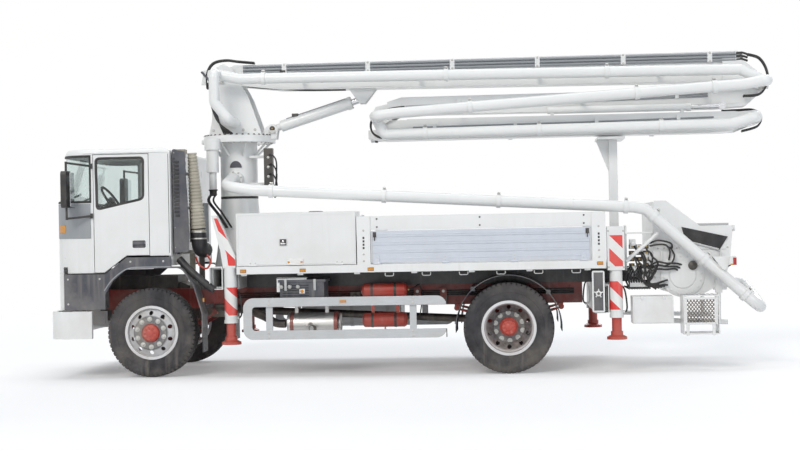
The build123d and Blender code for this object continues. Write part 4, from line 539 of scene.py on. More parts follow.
    def made_object(self, name, edge=0.0, smooth=38):
        """Makes the object, with its edges rounded by edge."""
        bmesh.ops.recalc_face_normals(self.mesh, faces=self.mesh.faces)
        mesh = bpy.data.meshes.new(name)
        self.mesh.to_mesh(mesh)
        self.mesh.free()
        for material in self.materials:
            mesh.materials.append(material)
        mesh.polygons.foreach_set("use_smooth", [True] * len(mesh.polygons))
        mesh.set_sharp_from_angle(angle=radians(smooth))
        made = bpy.data.objects.new(name, mesh)
        scene.collection.objects.link(made)
        if edge:
            edges = made.modifiers.new("rounded edges", "BEVEL")
            edges.width = edge
            edges.segments = 2
            edges.limit_method = "ANGLE"
            edges.angle_limit = radians(50)
        return made

    def finish(self, name, body, edge=0.0, smooth=38):
        """Makes the object and lets it ride on a body."""
        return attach(self.made_object(name, edge, smooth), body)

    def blended(self, name):
        """Makes the object with its transform applied to its mesh, on no body."""
        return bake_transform(self.made_object(name))


# ------------------------------ tyres
rear_tyre_half = 0.143


def tyre(name, centre, body, node, blocks, lug):
    """A truck tyre: beads, bulged walls with rings, and a tread cut into ribs and blocks."""
    half = (high(node) - low(node)).y / 2 if "front" in node else rear_tyre_half
    radius, bead, depth = 0.538, 0.3053, 0.015
    shoulder_y, shoulder_radius, slot_squeeze = 0.0915, 0.503, 0.985
    # distance from the middle, radius; the walls are the same on both sides
    wall = [(0.115, bead), (0.115, 0.325), (0.118, 0.337), (0.124, 0.352), (0.128, 0.356),
            (0.128, 0.362), (0.13, 0.368), (half - 0.0075, 0.42), (half - 0.003, 0.424),
            (half - 0.003, 0.432), (half - 0.002, 0.45), (half, 0.468), (half - 0.002, 0.486),
            (half - 0.0065, 0.5), (half - 0.011, 0.506), (half - 0.013, 0.516)]
    crown = [half - 0.02, half - 0.028, 0.092, 0.086, 0.074, 0.068, 0.05, 0.044, 0.032,
             0.026, 0.008, 0.002]
    grooves = {0.044, 0.032} if lug else {0.086, 0.074, 0.044, 0.032}
    tread = []
    for y in crown:
        drop = 0.0035 * (y / half) ** 2
        fall = 0.006 if y > half - 0.022 else 0.0
        tread.append((y, radius - drop - fall))
    half_profile = [(y, r, False) for y, r in wall] + [(y, r, True) for y, r in tread]
    profile = [(-y, r, t) for y, r, t in half_profile] + half_profile[::-1]
    shape = Shape(tyre_rubber)
    rings = []
    for block in range(blocks):
        for phase in (0.0, 0.045, 0.25, 0.295, 0.5, 0.545, 0.75, 0.795):
            angle = 2 * pi * (block + phase) / blocks
            slot_here = 0.045 <= phase <= 0.25
            other_slot = 0.545 <= phase <= 0.75
            sway = 0.004 * (1 if phase < 0.5 else -1)
            ring = []
            for y, r, on_tread in profile:
                near = abs(y)
                slotted, facing_slotted = slot_here, other_slot
                if y <= 0:
                    slotted, facing_slotted = other_slot, slot_here
                if on_tread:
                    cut = near in grooves or near > shoulder_y and slotted
                    if lug:
                        cut |= near >= 0.05 and slotted or near <= 0.03 and facing_slotted
                    r -= depth if cut else 0
                    y += sway if near < 0.09 else 0
                elif r > shoulder_radius and slotted:
                    r -= 0.003
                    y *= slot_squeeze
                ring.append(centre + Vector((r * sin(angle), y, r * cos(angle))))
            rings.append(ring)
    shape.skin(rings, closed=True)
    return shape.finish(name, body, smooth=32)


for side_name, s in SIDES:
    spin = pivots[f"front_wheel_spin_{side_name}"]
    node = f"front_tyre_{side_name}"
    made = tyre(f"front_tread_{side_name}", Vector((spin.x, middle(node).y, spin.z)),
                f"front_wheel_{side_name}", node, 60, False)
    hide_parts(node)
    node = f"rear_tyre_{side_name}"
    spin = pivots[f"rear_wheel_spin_{side_name}"]
    rows = [low(node).y + rear_tyre_half, high(node).y - rear_tyre_half]
    for place, y in zip(("outer", "inner"), rows[::-s]):
        made = tyre(f"rear_tread_{place}_{side_name}", Vector((spin.x, y, spin.z)),
                    f"rear_wheel_{side_name}", node, 54, True)
        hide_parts(node)

# ------------------------------ wheels
# outer faces of the rims' discs, and ends of the hubs, from the middle
wheel_faces = (("front", 1.17, 1.216), ("rear", 0.912, 1.065))
for side_name, s in SIDES:
    out = (0, s, 0)
    for end, face, hub_end in wheel_faces:
        spin = pivots[f"{end}_wheel_spin_{side_name}"]
        fixings = Shape(bolt_steel)
        face_spot = (spin.x, s * (face - 0.001), spin.z)
        fixings.bolt_circle(face_spot, out, 0.1675, 10, 0.032, 0.2, 0.034)
        cap_spot = (spin.x, s * (hub_end - 0.001), spin.z)
        fixings.use(red).bolt_circle(cap_spot, out, 0.062, 8, 0.015, 0.1)
        fixings.disc(cap_spot, out, 0.042, 0.011)
        # the valve's stem and its cap
        valve = Vector((spin.x + 0.17, 0, spin.z + 0.17))
        for material, start, end_y, radius in ((brass, -0.02, 0.03, 0.005),
                                               (black_rubber, 0.03, 0.042, 0.007)):
            fixings.use(material).rod((valve.x, s * (face + start), valve.z),
                                      (valve.x, s * (face + end_y), valve.z), radius, 8)
        fixings.finish(f"{end}_wheel_fixings_{side_name}", f"{end}_wheel_{side_name}")

# ------------------------------ cab
cab_front, cab_rear, cab_side, cab_roof = -4.38, -2.925, 1.19, 2.765
screen_foot, screen_top, screen_rear, screen_lean = 2.13, 2.68, -3.902, 0.105
cab_corner, lean_from = 0.33, 2.11


def cab_outline(z, out):
    """Points round the cab's front at a height, from its left side to its right."""
    lean = max(z - lean_from, 0) / (cab_roof - lean_from) * screen_lean
    front, side, corner = cab_front + lean - out, cab_side + out, cab_corner + out
    left, steps = [Vector((screen_rear, -side, z))], 9
    for i in range(steps + 1):
        a = pi / 2 * i / steps
        left.append(Vector((front + corner - corner * sin(a),
                            -side + corner - corner * cos(a), z)))
    return left + [Vector((p.x, -p.y, z)) for p in reversed(left)]


def cab_belt(shape, z0, z1, inner, outer, part=slice(None)):
    """A strip of cab_outline from z0 to z1 that stands out from inner to outer."""
    loops = [cab_outline(z, out)[part]
             for z, out in ((z0, inner), (z1, inner), (z1, outer), (z0, outer))]
    shape.skin(list(zip(*loops)))


trim = Shape(seal_rubber)
for z in (screen_foot, screen_top):
    cab_belt(trim, z - 0.014, z + 0.014, -0.018, 0.004)
for _, s in SIDES:
    trim.box((screen_rear - 0.012, s * (cab_side - 0.018), screen_foot - 0.014),
             (screen_rear + 0.012, s * (cab_side + 0.004), screen_top + 0.014))
# the rear window's seal
trim.frame((cab_rear + 0.001, -0.43, 2.05), (cab_rear + 0.001, 0.43, 2.48), TO_REAR, 0.05,
           0.034, 0.016)
trim.finish("screen_seals", "cab", soft)

# the grey on the cab's front corners is a painted reflection of the curved corner; amber strips sit
# on it
corner_panels_painted_reflection = Shape(grey_paint)
for part in (slice(0, 8), slice(-8, None)):
    cab_belt(corner_panels_painted_reflection, 1.69, 2.108, 0.0005, 0.01, part=part)
corner_panels_painted_reflection.use(amber)
for part in (slice(4, 7), slice(-7, -4)):
    cab_belt(corner_panels_painted_reflection, 1.76, 1.85, 0.008, 0.016, part=part)
corner_panels_painted_reflection.finish("corner_panels_painted_reflection", "cab", soft)

front = cab_front - 0.001
slats, slat_pitch, air_slots, slot_pitch = 6, 0.05, 3, 0.042
grille = Shape(black_plastic)
grille.box((front - 0.006, -0.7, 1.335), (front + 0.004, 0.7, 1.655))
for row in range(slats):
    z = 1.36 + slat_pitch * row
    grille.prism([(front - 0.004, z), (front - 0.022, z + 0.008), (front - 0.022, z + 0.014),
                  (front - 0.004, z + 0.032)], -0.68, 0.68)
for y in (-0.69, -0.345, 0, 0.345, 0.69):
    grille.box((front - 0.024, y - 0.009, 1.34), (front - 0.004, y + 0.009, 1.65))
# upper air slots and the hand rail under the windscreen
for row in range(air_slots):
    z = 1.845 + slot_pitch * row
    grille.box((front - 0.005, -0.52, z), (front + 0.004, 0.52, z + 0.02))
for s in (LEFT, RIGHT):
    grille.wire([(front + 0.01, s * 0.3, 2.02), (front - 0.03, s * 0.3, 2.02),
                 (front - 0.03, s * 0.8, 2.02), (front + 0.01, s * 0.8, 2.02)],
                0.011, 0.03)
grille.finish("front_grille", "cab", 0.0015)

wipers = Shape(black_paint)
for pivot_y, tip_y in ((-0.72, -0.02), (-0.02, 0.68)):
    pivot = Vector((front - 0.004, pivot_y, 2.085))
    tip = Vector((front + 0.006, (pivot_y + tip_y) / 2 + 0.1, 2.215))
    wipers.turned(pivot + Vector((0.012, 0, 0)), TO_FRONT,
                  [(0, 0.02), (0.018, 0.02), (0.026, 0.012)], 14)
    wipers.tube([pivot, pivot.lerp(tip, 0.5) + Vector((-0.012, 0, 0.01)), tip], 0.0055, 8)
    heel, toe = tip + Vector((0, -0.3, -0.045)), tip + Vector((0.001, 0.3, 0.045))
    wipers.use(black_rubber).band([heel, tip, toe], TO_REAR, 0.022, 0.012)
    wipers.use(black_paint)
wipers.finish("wipers", "cab")

# bumper lamps in their recesses, on both sides of a blank plate
bumper_face = -4.44
lamps = Shape(black_plastic)
for s in (LEFT, RIGHT):
    lamps.use(silver).box((bumper_face + 0.014, s * 0.643, 0.603),
                          (bumper_face + 0.023, s * 0.857, 0.727))
    for y in (0.697, 0.803):
        lamps.use(silver).turned((bumper_face + 0.022, s * y, 0.665), TO_FRONT,
                                 [(0, 0.03), (0.01, 0.049), (0.012, 0.049), (0.012, 0.045)], 28)
        lamps.use(clear_lens).turned((bumper_face + 0.016, s * y, 0.665), TO_FRONT,
                                     [(0, 0.046), (0.006, 0.045), (0.011, 0.034),
                                      (0.013, 0.012)], 28)
    lamps.use(amber).box((bumper_face + 0.006, s * 0.904, 0.604),
                         (bumper_face + 0.023, s * 1.036, 0.726))
lamps.use(white).box((bumper_face + 0.018, -0.255, 0.565), (bumper_face + 0.031, 0.255, 0.675))
lamps.finish("bumper_lamps", "chassis", thin)

# doors: window seals, handles and gutters, and the mirrors' glass
window = [(-3.824, 2.036), (-3.256, 2.156), (-3.248, 2.65), (-3.83, 2.65)]
step_ribs, rib_pitch = 5, 0.045
for side_name, s in SIDES:
    door = f"cab_door_{side_name}"
    ring = rounded([(x, s * 1.184, z) for x, z in window], 0.05, True)
    Shape(seal_rubber).band(ring, (0, s, 0), 0.03, 0.016, True).finish(
        f"window_seal_{side_name}", door, soft)
    handle = Shape(dark_plastic)
    handle.box((-3.39, s * 1.1735, 1.57), (-3.24, s * 1.1765, 1.65))
    handle.box((-3.389, s * 1.1835, 1.607), (-3.241, s * 1.2, 1.643))
    handle.frame((-3.39, s * 1.191, 1.57), (-3.24, s * 1.191, 1.65), (0, s, 0), 0.015,
                 0.01, 0.005)
    handle.use(chrome).disc((-3.222, s * 1.189, 1.61), (0, s, 0), 0.011, 0.004, 16)
    handle.finish(f"door_handle_{side_name}", door, soft)

    gutter = Shape(white).wire([(-3.99, s * 1.186, 2.712), (-3.93, s * 1.194, 2.716),
                                (-2.96, s * 1.194, 2.716), (-2.935, s * 1.186, 2.7)], 0.007)
    gutter.use(seal_rubber).wire([(-2.945, s * 1.191, 2.69), (-2.945, s * 1.191, 1.5)], 0.003)
    gutter.finish(f"roof_gutter_{side_name}", "cab")

    mirror = Shape(chrome)
    mirror.box((-4.079, s * 1.262, 2.075), (-4.075, s * 1.428, 2.48))
    mirror.use(black_plastic).box((-4.079, s * 1.262, 2.058), (-4.073, s * 1.428, 2.066))
    mirror.finish(f"mirror_glass_{side_name}", "cab", thin)

    # fenders: the light edge round the arch, screws, treads, the flap and a side marker
    fender = Shape(grey_paint)
    arch = [(-3.745, 1.055), (-3.655, 1.19), (-3.46, 1.332), (-2.93, 1.332)]
    fender.band(rounded([(x, s * 1.2125, z) for x, z in arch], 0.1), (0, s, 0), 0.014, 0.004)
    fender.use(bolt_steel)
    for x, z in ((-4.19, 1.2), (-4.19, 0.9), (-3.8, 1.2), (-3.42, 1.4), (-3.02, 1.4)):
        fender.bolt((x, s * 1.2115, z), (0, s, 0), 0.013)
    fender.use(mill_aluminium)
    for z in (0.849, 1.065):
        for row in range(step_ribs):
            fender.box((-4.2, s * (0.93 + rib_pitch * row), z - 0.001),
                       (-3.8, s * (0.945 + rib_pitch * row), z + 0.004))
    fender.use(black_rubber)
    flap = [(-2.567, 0.76), (-2.555, 0.76), (-2.552, 0.3), (-2.566, 0.3)]
    fender.prism(flap, s * 0.93, s * 1.2)
    fender.use(amber).box((-2.548, s * 1.195, 0.905), (-2.53, s * 1.214, 0.95))
    fender.finish(f"fender_trim_{side_name}", "chassis", thin)

# the cab's inside
floor_top, seat_y = 1.387, 0.56
inside = Shape(interior)
inside.box((-4.16, -1.05, floor_top), (-2.98, 1.05, floor_top + 0.012))
# the engine's tunnel between the seats
inside.use(dark_plastic).skin([[(x, -0.27, floor_top), (x, 0.27, floor_top), (x, 0.2, top),
                                (x, -0.2, top)]
                               for x, top in ((-3.95, 1.62), (-3.6, 1.76), (-3.0, 1.76))])
# dashboard, its hood and the panel below
inside.use(interior).prism([(-4.195, 1.93), (-4.195, 2.03), (-4.02, 2.085), (-3.94, 2.03),
                            (-3.935, 1.9), (-4.03, 1.868)], -1.075, 1.075)
inside.prism([(-4.19, floor_top), (-4.19, 1.95), (-4.08, 1.95), (-4.11, floor_top)], -0.69, 0.69)
inside.use(black_plastic)
inside.prism([(-4.02, 2.075), (-3.9, 2.065), (-3.93, 2.035), (-4.02, 2.03)], -0.86, -0.27)
inside.box((-3.945, -0.22, 1.915), (-3.932, 0.22, 2.02))
for y in (-0.17, -0.06, 0.05, 0.16):
    inside.use(galvanised).turned((-3.934, y, 1.955), (1, 0, 0.1),
                                  [(0, 0.018), (0.01, 0.016), (0.012, 0.01)], 14)
wheel_middle, column_foot = Vector((-3.8, -seat_y, 2.147)), Vector((-4.02, -seat_y, 1.993))
lean = (wheel_middle - column_foot).normalized()
across = Vector((0, 1, 0))
upward = lean.cross(across)
inside.use(black_plastic).rod(column_foot, wheel_middle, 0.03)
inside.turned(wheel_middle - lean * 0.02, lean, [(0, 0.05), (0.02, 0.062), (0.035, 0.055)], 20)
for angle in (0.2, pi - 0.2, 1.5 * pi):
    tip = wheel_middle + (across * cos(angle) + upward * sin(angle)) * 0.205
    inside.rod(wheel_middle, tip, 0.011, 8)
inside.tube(circle(wheel_middle, across, upward, 0.213, 36), 0.0155, 10, 1, True)
# gear lever with its knob, and pedals
inside.wire([(-3.62, -0.05, 1.74), (-3.64, -0.09, 1.95), (-3.66, -0.12, 2.02)], 0.009)
inside.turned((-3.66, -0.12, 2.01), (-0.1, -0.2, 1),
              [(0, 0.01), (0.02, 0.024), (0.045, 0.018), (0.055, 0.006)], 14)
for y in (-0.72, -0.58, -0.42):
    inside.box((-4.06, y - 0.035, 1.46), (-4.045, y + 0.035, 1.54))
    inside.rod((-4.05, y, 1.53), (-4.1, y, 1.66), 0.008, 8)
# the rear wall's trim below its window, and the seats' plinths
inside.use(interior).box((-2.99, -1.05, floor_top), (-2.972, 1.05, 2.03))
for y in (-seat_y, seat_y):
    plinth = ((floor_top, 0.19), (1.46, 0.17), (1.7, 0.22), (1.72, 0.23))
    inside.use(black_plastic).skin([[(-3.53, y - half, z), (-3.1, y - half, z),
                                     (-3.1, y + half, z), (-3.53, y + half, z)]
                                    for z, half in plinth])
cab_inside = inside.finish("cab_inside", "cab", 0.003)
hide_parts("cab_interior")

seat_cloth = Surface("woven_seat_cloth", roughness=0.95, specular_ior_level=0.1)
weave = seat_cloth.maths("MAXIMUM", seat_cloth.noise(500, (1, 0.15, 1), 2),
                         seat_cloth.noise(500, (0.15, 1, 1), 2))
seat_cloth.colour(seat_cloth.mix(seat_cloth.span(weave, 0.4, 0.75), (0.045, 0.05, 0.065),
                                 (0.12, 0.13, 0.155)))
seat_cloth.relief(weave, 0.0008, 0.5)
seam = rubber("seat_piping", (0.03, 0.03, 0.04), 0.8, 0.05)


cloth_frames, most_swell, groove, groove_reach = 20, 0.016, 0.01, 0.03


def stuffed(size, channels):
    """A cushion pumped up by a cloth simulation from a flat block, with sewn channels along it.
    Gives its mesh and the line of the seam round its top."""
    half = Vector(size) / 2
    shape = Shape(seat_cloth.material).box(-half, half)
    bmesh.ops.subdivide_edges(shape.mesh, edges=shape.mesh.edges, cuts=15, use_grid_fill=True)
    bmesh.ops.recalc_face_normals(shape.mesh, faces=shape.mesh.faces)
    mesh = bpy.data.meshes.new("cushion")
    shape.mesh.to_mesh(mesh)
    shape.mesh.free()
    mesh.materials.append(seat_cloth.material)
    made = bpy.data.objects.new("cushion", mesh)
    scene.collection.objects.link(made)
    flat = [v.co.copy() for v in mesh.vertices]
    pumped = made.modifiers.new("stuffing", "CLOTH")
    pumped.settings.use_pressure = True
    pumped.settings.uniform_pressure_force = 4
    pumped.settings.effector_weights.gravity = 0
    for step in range(cloth_frames):
        scene.frame_set(step + 1)
    swollen = made.evaluated_get(bpy.context.evaluated_depsgraph_get()).to_mesh()
    moves = [v.co - rest for v, rest in zip(swollen.vertices, flat)]
    made.modifiers.remove(pumped)
    scene.frame_set(1)
    edge_points = []
    for vertex, rest, move in zip(mesh.vertices, flat, moves):
        vertex.co = rest + move * min(1, most_swell / max(move.length, 1e-6))
        near = min(abs(rest.y - y) for y in channels)
        if rest.z > half.z - 1e-4:
            vertex.co.z -= groove * max(0, 1 - near / groove_reach)
            if abs(rest.x) > half.x - 1e-4 or abs(rest.y) > half.y - 1e-4:
                edge_points.append(vertex.co.copy())
    bpy.data.objects.remove(made)
    mesh.polygons.foreach_set("use_smooth", [True] * len(mesh.polygons))
    return mesh, sorted(edge_points, key=lambda p: atan2(p.y, p.x))


def placed(spot, up):
    """Takes a cushion's length to up and its middle to spot; its top then faces forward."""
    x, y = Vector(up).normalized(), Vector((0, 1, 0))
    return Matrix.Translation(Vector(spot)) @ Matrix((x, y, x.cross(y))).transposed().to_4x4()


back_lean = (0.16, 0, 0.99)
cushions = {
    "seat": (stuffed((0.46, 0.47, 0.1), (-0.13, 0.13)), (-3.345, 1.775), (1, 0, 0.06)),
    "backrest": (stuffed((0.6, 0.45, 0.09), (-0.12, 0.12)), (-3.105, 2.085), back_lean),
    "headrest": (stuffed((0.17, 0.27, 0.07), (0.0,)), (-3.02, 2.51), back_lean),
}
for kind, ((mesh, seam_line), (x, z), up) in cushions.items():
    for side_name, s in SIDES:
        place = placed((x, s * seat_y, z), up)
        made = bpy.data.objects.new(f"{kind}_{side_name}", mesh.copy())
        scene.collection.objects.link(made)
        made.data.transform(place)
        softened = made.modifiers.new("smooth", "SUBSURF")
        softened.levels = softened.render_levels = 1
        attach(made, "cab")
        piping = Shape(seam).tube([place @ p for p in seam_line], 0.005, 6, 1, True)
        if kind == "headrest":
            for y in (-0.06, 0.06):
                piping.use(chrome).rod((x - 0.005, s * seat_y + y, z - 0.05),
                                       (x - 0.035, s * seat_y + y, z - 0.17), 0.006)
        piping.finish(f"{kind}_piping_{side_name}", "cab")

# ------------------------------ behind the cab
intake_low = low("intake_stack")
stack = Shape(black_plastic)
panel_y = intake_low.y - 0.001
edge_slats, edge_pitch, side_slats, side_pitch = 17, 0.04, 15, 0.046
duct_x, duct_y = -2.636, -0.98
# slats on the edge of the panel that faces out, and its mounting bolts
for row in range(edge_slats):
    z = 1.98 + edge_pitch * row
    stack.box((intake_low.x + 0.006, panel_y - 0.006, z),
              (intake_low.x + 0.022, panel_y + 0.004, z + 0.022))
stack.use(bolt_steel)
for z in (1.56, 1.8, 2.7):
    stack.bolt((intake_low.x + 0.014, panel_y, z), TO_LEFT, 0.012)
# the panel's wide side and the slats on it, dark as painted shade of the cab's rear wall, and
# behind it the pleated duct down to its elbow
stack.use(dark_plastic).prism([(-2.897, 1.5), (-2.905, 2.74), (-2.755, 2.715), (-2.712, 1.7),
                               (-2.73, 1.5)], panel_y - 0.002, panel_y + 0.014)
stack.use(black_plastic)
for row in range(side_slats):
    z = 1.93 + side_pitch * row
    stack.box((-2.875, panel_y - 0.01, z), (-2.825, panel_y + 0.002, z + 0.028))
stack.use(beige_rubber)
pleats, duct_length = 24, 0.98
profile = []
for pleat in range(pleats):
    along = duct_length * pleat / pleats
    wide = 0.098 - 0.043 * pleat / pleats
    profile += [(along, wide - 0.01), (along + 0.012, wide), (along + 0.028, wide)]
stack.turned((duct_x, duct_y, 1.735), (-0.058, 0, 0.96), profile, 24)
stack.use(black_rubber).tube([(-2.64, duct_y, 1.78), (-2.632, duct_y, 1.68), (-2.625, -0.95, 1.58),
                              (-2.625, -0.84, 1.53), (-2.625, -0.66, 1.52)], 0.096, 16)
stack.use(bolt_steel)
for z in (1.655, 1.735):
    stack.turned((duct_x, duct_y, z), UP, [(0, 0.101), (0.016, 0.101)], 24)
# the air filter's blue-grey box and its foot, a dark hose and a red loop
stack.use(grey_paint).box((-2.8, -0.7, 1.62), (-2.62, -0.42, 2.1))
stack.use(dark_steel).box((-2.74, -0.47, 1.03), (-2.68, -0.41, 1.625))
stack.use(black_rubber).tube([(-2.86, -1.05, 1.42), (-2.74, -1.09, 1.3), (-2.6, -1.13, 1.18),
                              (-2.5, -1.145, 1.1), (-2.42, -1.15, 1.04)], 0.045, 12)
stack.use(red).tube([(-2.68, -0.95, 1.44), (-2.62, -1.02, 1.34), (-2.53, -1.03, 1.3),
                     (-2.49, -0.99, 1.38), (-2.54, -0.93, 1.46)], 0.012, 8)
stack.finish("intake_details", "chassis", thin)

# the slew drive's motor, its hoses and bolts, and the hydraulic pillar beside the pedestal, dark as
# painted shade
slew_bottom, drive_x, drive_y = 2.263, -2.55, -0.45
slew_x, ring_radius, ring_bolts = -2.3, 0.425, 36
drive = Shape(dark_steel)
drive.turned((drive_x, drive_y, slew_bottom - 0.075), UP,
             [(0, 0.035), (0.01, 0.045), (0.06, 0.045), (0.075, 0.06), (0.08, 0.06)], 20)
drop = ((0, 0, 0), (-0.03, -0.04, -0.09), (0.08, -0.02, -0.25), (0.16, 0.12, -0.42))
for a in (0.4, 2.5, 4.6):
    spot = Vector((drive_x + 0.04 * cos(a), drive_y + 0.04 * sin(a), slew_bottom - 0.05))
    drive.use(black_rubber).tube([spot + Vector(p) for p in drop], 0.012, 8)
# the pillar's dark steel is painted shade of a box in shadow behind the pedestal
drive.use(dark_steel).box((-1.925, -0.34, 2.255), (-1.815, -0.24, 2.775))
for z in (2.32, 2.66):
    drive.use(white).box((-2.12, -0.26, z), (-1.9, -0.15, z + 0.03))
drive.use(bolt_steel)
for z in (2.3, 2.42, 2.54, 2.66):
    drive.bolt((-1.87, -0.34, z), TO_LEFT, 0.018)
    drive.use(black_rubber).tube([(-1.86, -0.33, z + 0.03), (-1.8, -0.39, z + 0.02),
                                  (-1.76, -0.36, z - 0.1), (-1.8, -0.3, 2.16)], 0.01, 8)
    drive.use(bolt_steel)
drive.bolt_circle((slew_x, 0, 2.866), DOWN, ring_radius, ring_bolts, 0.022, 0.04, washer=False)
drive.finish("slew_drive_details", "chassis", thin)

ring = Shape(dark_steel)
ring.bolt_circle((slew_x, 0, 2.949), UP, ring_radius, ring_bolts, 0.022, 0.04)
ring.finish("slew_ring_bolts", "turret")

# ------------------------------ deck and cabinet
deck_half = 1.23
deck_side = -deck_half
# the cabinet's lid: its edge, reflector plate, lock, handle and bolts
lid = Shape(white)
edge_y = deck_side - 0.0015
lid.frame((-2.105, edge_y, 1.345), (-0.715, edge_y, 1.932), TO_LEFT, 0.04, 0.014, 0.005)
lid.use(silver).box((-1.515, deck_side - 0.016, 1.325), (-1.325, deck_side + 0.001, 1.4))
lid.use(amber)
for x in (-1.497, -1.343):
    lid.disc((x, deck_side - 0.015, 1.362), TO_LEFT, 0.013, 0.008, 16)
lid.use(black_plastic).box((-1.6, deck_side - 0.017, 1.563), (-1.52, deck_side - 0.013, 1.637))
lid.use(chrome).disc((-1.56, deck_side - 0.016, 1.61), TO_LEFT, 0.013, 0.007, 16)
lid.box((-1.59, deck_side - 0.026, 1.575), (-1.53, deck_side - 0.016, 1.59))
lid.use(bolt_steel)
for x in (-1.93, -0.89):
    for dx in (-0.03, 0.03):
        lid.bolt((x + dx, deck_side - 0.0005, 1.353), TO_LEFT, 0.01)
lid.finish("cabinet_lid_details", "tool_cabinet_door", thin)

deck_trim = Shape(amber)
for x, z in ((-0.52, 1.262), (-1.334, 1.262), (2.18, 1.285), (-2.05, 1.262)):
    for s in (LEFT, RIGHT):
        deck_trim.use(black_plastic).box((x - 0.036, s * 1.228, z - 0.02),
                                         (x + 0.036, s * 1.2325, z + 0.02))
        deck_trim.use(amber).box((x - 0.032, s * 1.232, z - 0.016),
                                 (x + 0.032, s * 1.24, z + 0.016))
# post slots and their bolts, and rope hooks under the edge
post_slots, post_slot_pitch, hooks, hook_pitch = 4, 0.04, 6, 0.44
for s in (LEFT, RIGHT):
    for x in (-0.6, 2.17):
        for row in range(post_slots):
            z = 1.5 + post_slot_pitch * row
            deck_trim.use(black_plastic).box((x - 0.011, s * 1.2295, z),
                                             (x + 0.011, s * 1.2312, z + 0.026))
        deck_trim.use(bolt_steel)
        for z in (1.36, 1.44, 1.72):
            deck_trim.bolt((x, s * deck_half, z), (0, s, 0), 0.014)
    deck_trim.use(galvanised)
    for step in range(hooks):
        x = -0.3 + hook_pitch * step
        deck_trim.wire([(x - 0.05, s * 1.222, 1.215), (x - 0.05, s * 1.236, 1.178),
                        (x + 0.05, s * 1.236, 1.178), (x + 0.05, s * 1.222, 1.215)], 0.006, 0.02, 8)
# plugs along the boards over the dropsides
for s in (LEFT, RIGHT):
    deck_trim.use(dark_plastic)
    for x in (-0.44, 0.78, 2.0):
        for z in (1.76, 1.855):
            deck_trim.disc((x, s * 1.2098, z), (0, s, 0), 0.011, 0.006, 12)
deck_trim.finish("deck_trim", "chassis", fine)

plank_joints, hinge_plates = (1.385, 1.485, 1.58, 1.672), 4
for side_name, s in SIDES:
    x0, x1 = (corner.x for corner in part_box(f"dropside_{side_name}"))
    face = s * 1.232
    board = Shape(aluminium)
    # rolled ribs and the end caps of the planks
    for z in plank_joints:
        board.prism([(x0 + 0.012, z - 0.007), (x1 - 0.012, z - 0.007), (x1 - 0.012, z + 0.007),
                     (x0 + 0.012, z + 0.007)], face - s * 0.001, face + s * 0.003)
    board.use(mill_aluminium)
    for x in (x0 + 0.01, x1 - 0.01):
        board.box((x - 0.01, face - s * 0.001, 1.34), (x + 0.01, face + s * 0.004, 1.712))
    board.use(dark_steel)
    for x in (x0 + 0.045, x1 - 0.045):
        board.box((x - 0.02, face, 1.64), (x + 0.02, face + s * 0.005, 1.7))
        board.wire([(x, face + s * 0.004, 1.69), (x, face + s * 0.02, 1.68),
                    (x, face + s * 0.02, 1.61), (x, face + s * 0.004, 1.6)], 0.006, 0.015, 8)
    board.use(bolt_steel)
    for step in range(hinge_plates):
        x = x0 + 0.07 + step * (x1 - x0 - 0.16) / (hinge_plates - 1)
        for dz in (0.03, 0.068):
            board.disc((x, s * 1.2435, 1.33 + dz), (0, s, 0), 0.008, 0.003, 12)
    board.finish(f"dropside_details_{side_name}", f"dropside_{side_name}", thin)

# white bracket and silver connectors under the cabinet
works = Shape(dark_steel)
works.use(white).box((-1.66, -1.16, 1.005), (-1.3, -1.145, 1.175))
works.box((-1.66, -1.16, 1.165), (-1.3, -1.04, 1.178))
for x in (-1.6, -1.5, -1.4):
    works.use(bolt_steel).turned((x, -1.158, 1.085), (0, -1, -0.5),
                                 [(0, 0.016), (0.02, 0.016), (0.022, 0.024), (0.045, 0.024),
                                  (0.047, 0.014), (0.06, 0.014)], 14)
    works.use(black_rubber).tube([(x, -1.14, 1.08), (x + 0.02, -1.08, 1.04),
                                  (x + 0.1, -1.02, 1.06), (x + 0.2, -0.9, 1.09)], 0.009, 8)
works.finish("air_connections", "chassis", thin)

# ------------------------------ support legs
sleeve_z, sleeve_length, inlet_z = 0.735, 0.335, 0.7
for corner in ("front_left", "front_right", "rear_left", "rear_right"):
    s = LEFT if "left" in corner else RIGHT
    x, y = middle(f"support_jack_{corner}").xy
    leg = Shape(warning if s < 0 else warning_mirrored)
    leg.collar((x, y, sleeve_z), UP, 0.0755, 0.0765, sleeve_length, 40)
    face = y + s * 0.0635
    if "front" in corner:
        leg.prism([(x - 0.176, 1.9), (x - 0.136, 1.9), (x + 0.073, 1.448), (x + 0.073, 1.33),
                   (x - 0.012, 1.33), (x - 0.03, 1.47)], face - s * 0.003, face)
    elif corner == "rear_left":
        leg.box((x - 0.078, y - 0.0925, 1.245), (x + 0.078, y - 0.0895, 1.61))
        leg.use(bolt_steel)
        for dx in (-0.088, 0.088):
            for z in (1.235, 1.66):
                leg.bolt((x + dx, y - 0.09, z), TO_LEFT, 0.013)
    # the jack's inlet and its hose
    leg.use(bolt_steel).turned((x - s * 0.07, y, inlet_z), (-s, 0, 0),
                               [(0, 0.018), (0.03, 0.018)], 6)
    leg.use(black_rubber).tube([(x - s * 0.1, y, inlet_z), (x - s * 0.125, y - s * 0.02, 0.76),
                                (x - s * 0.105, y - s * 0.05, 0.95),
                                (x - s * 0.06, y - s * 0.085, 1.03)], 0.01, 8)
    leg.finish(f"leg_details_{corner}", f"support_beam_{corner}", thin)

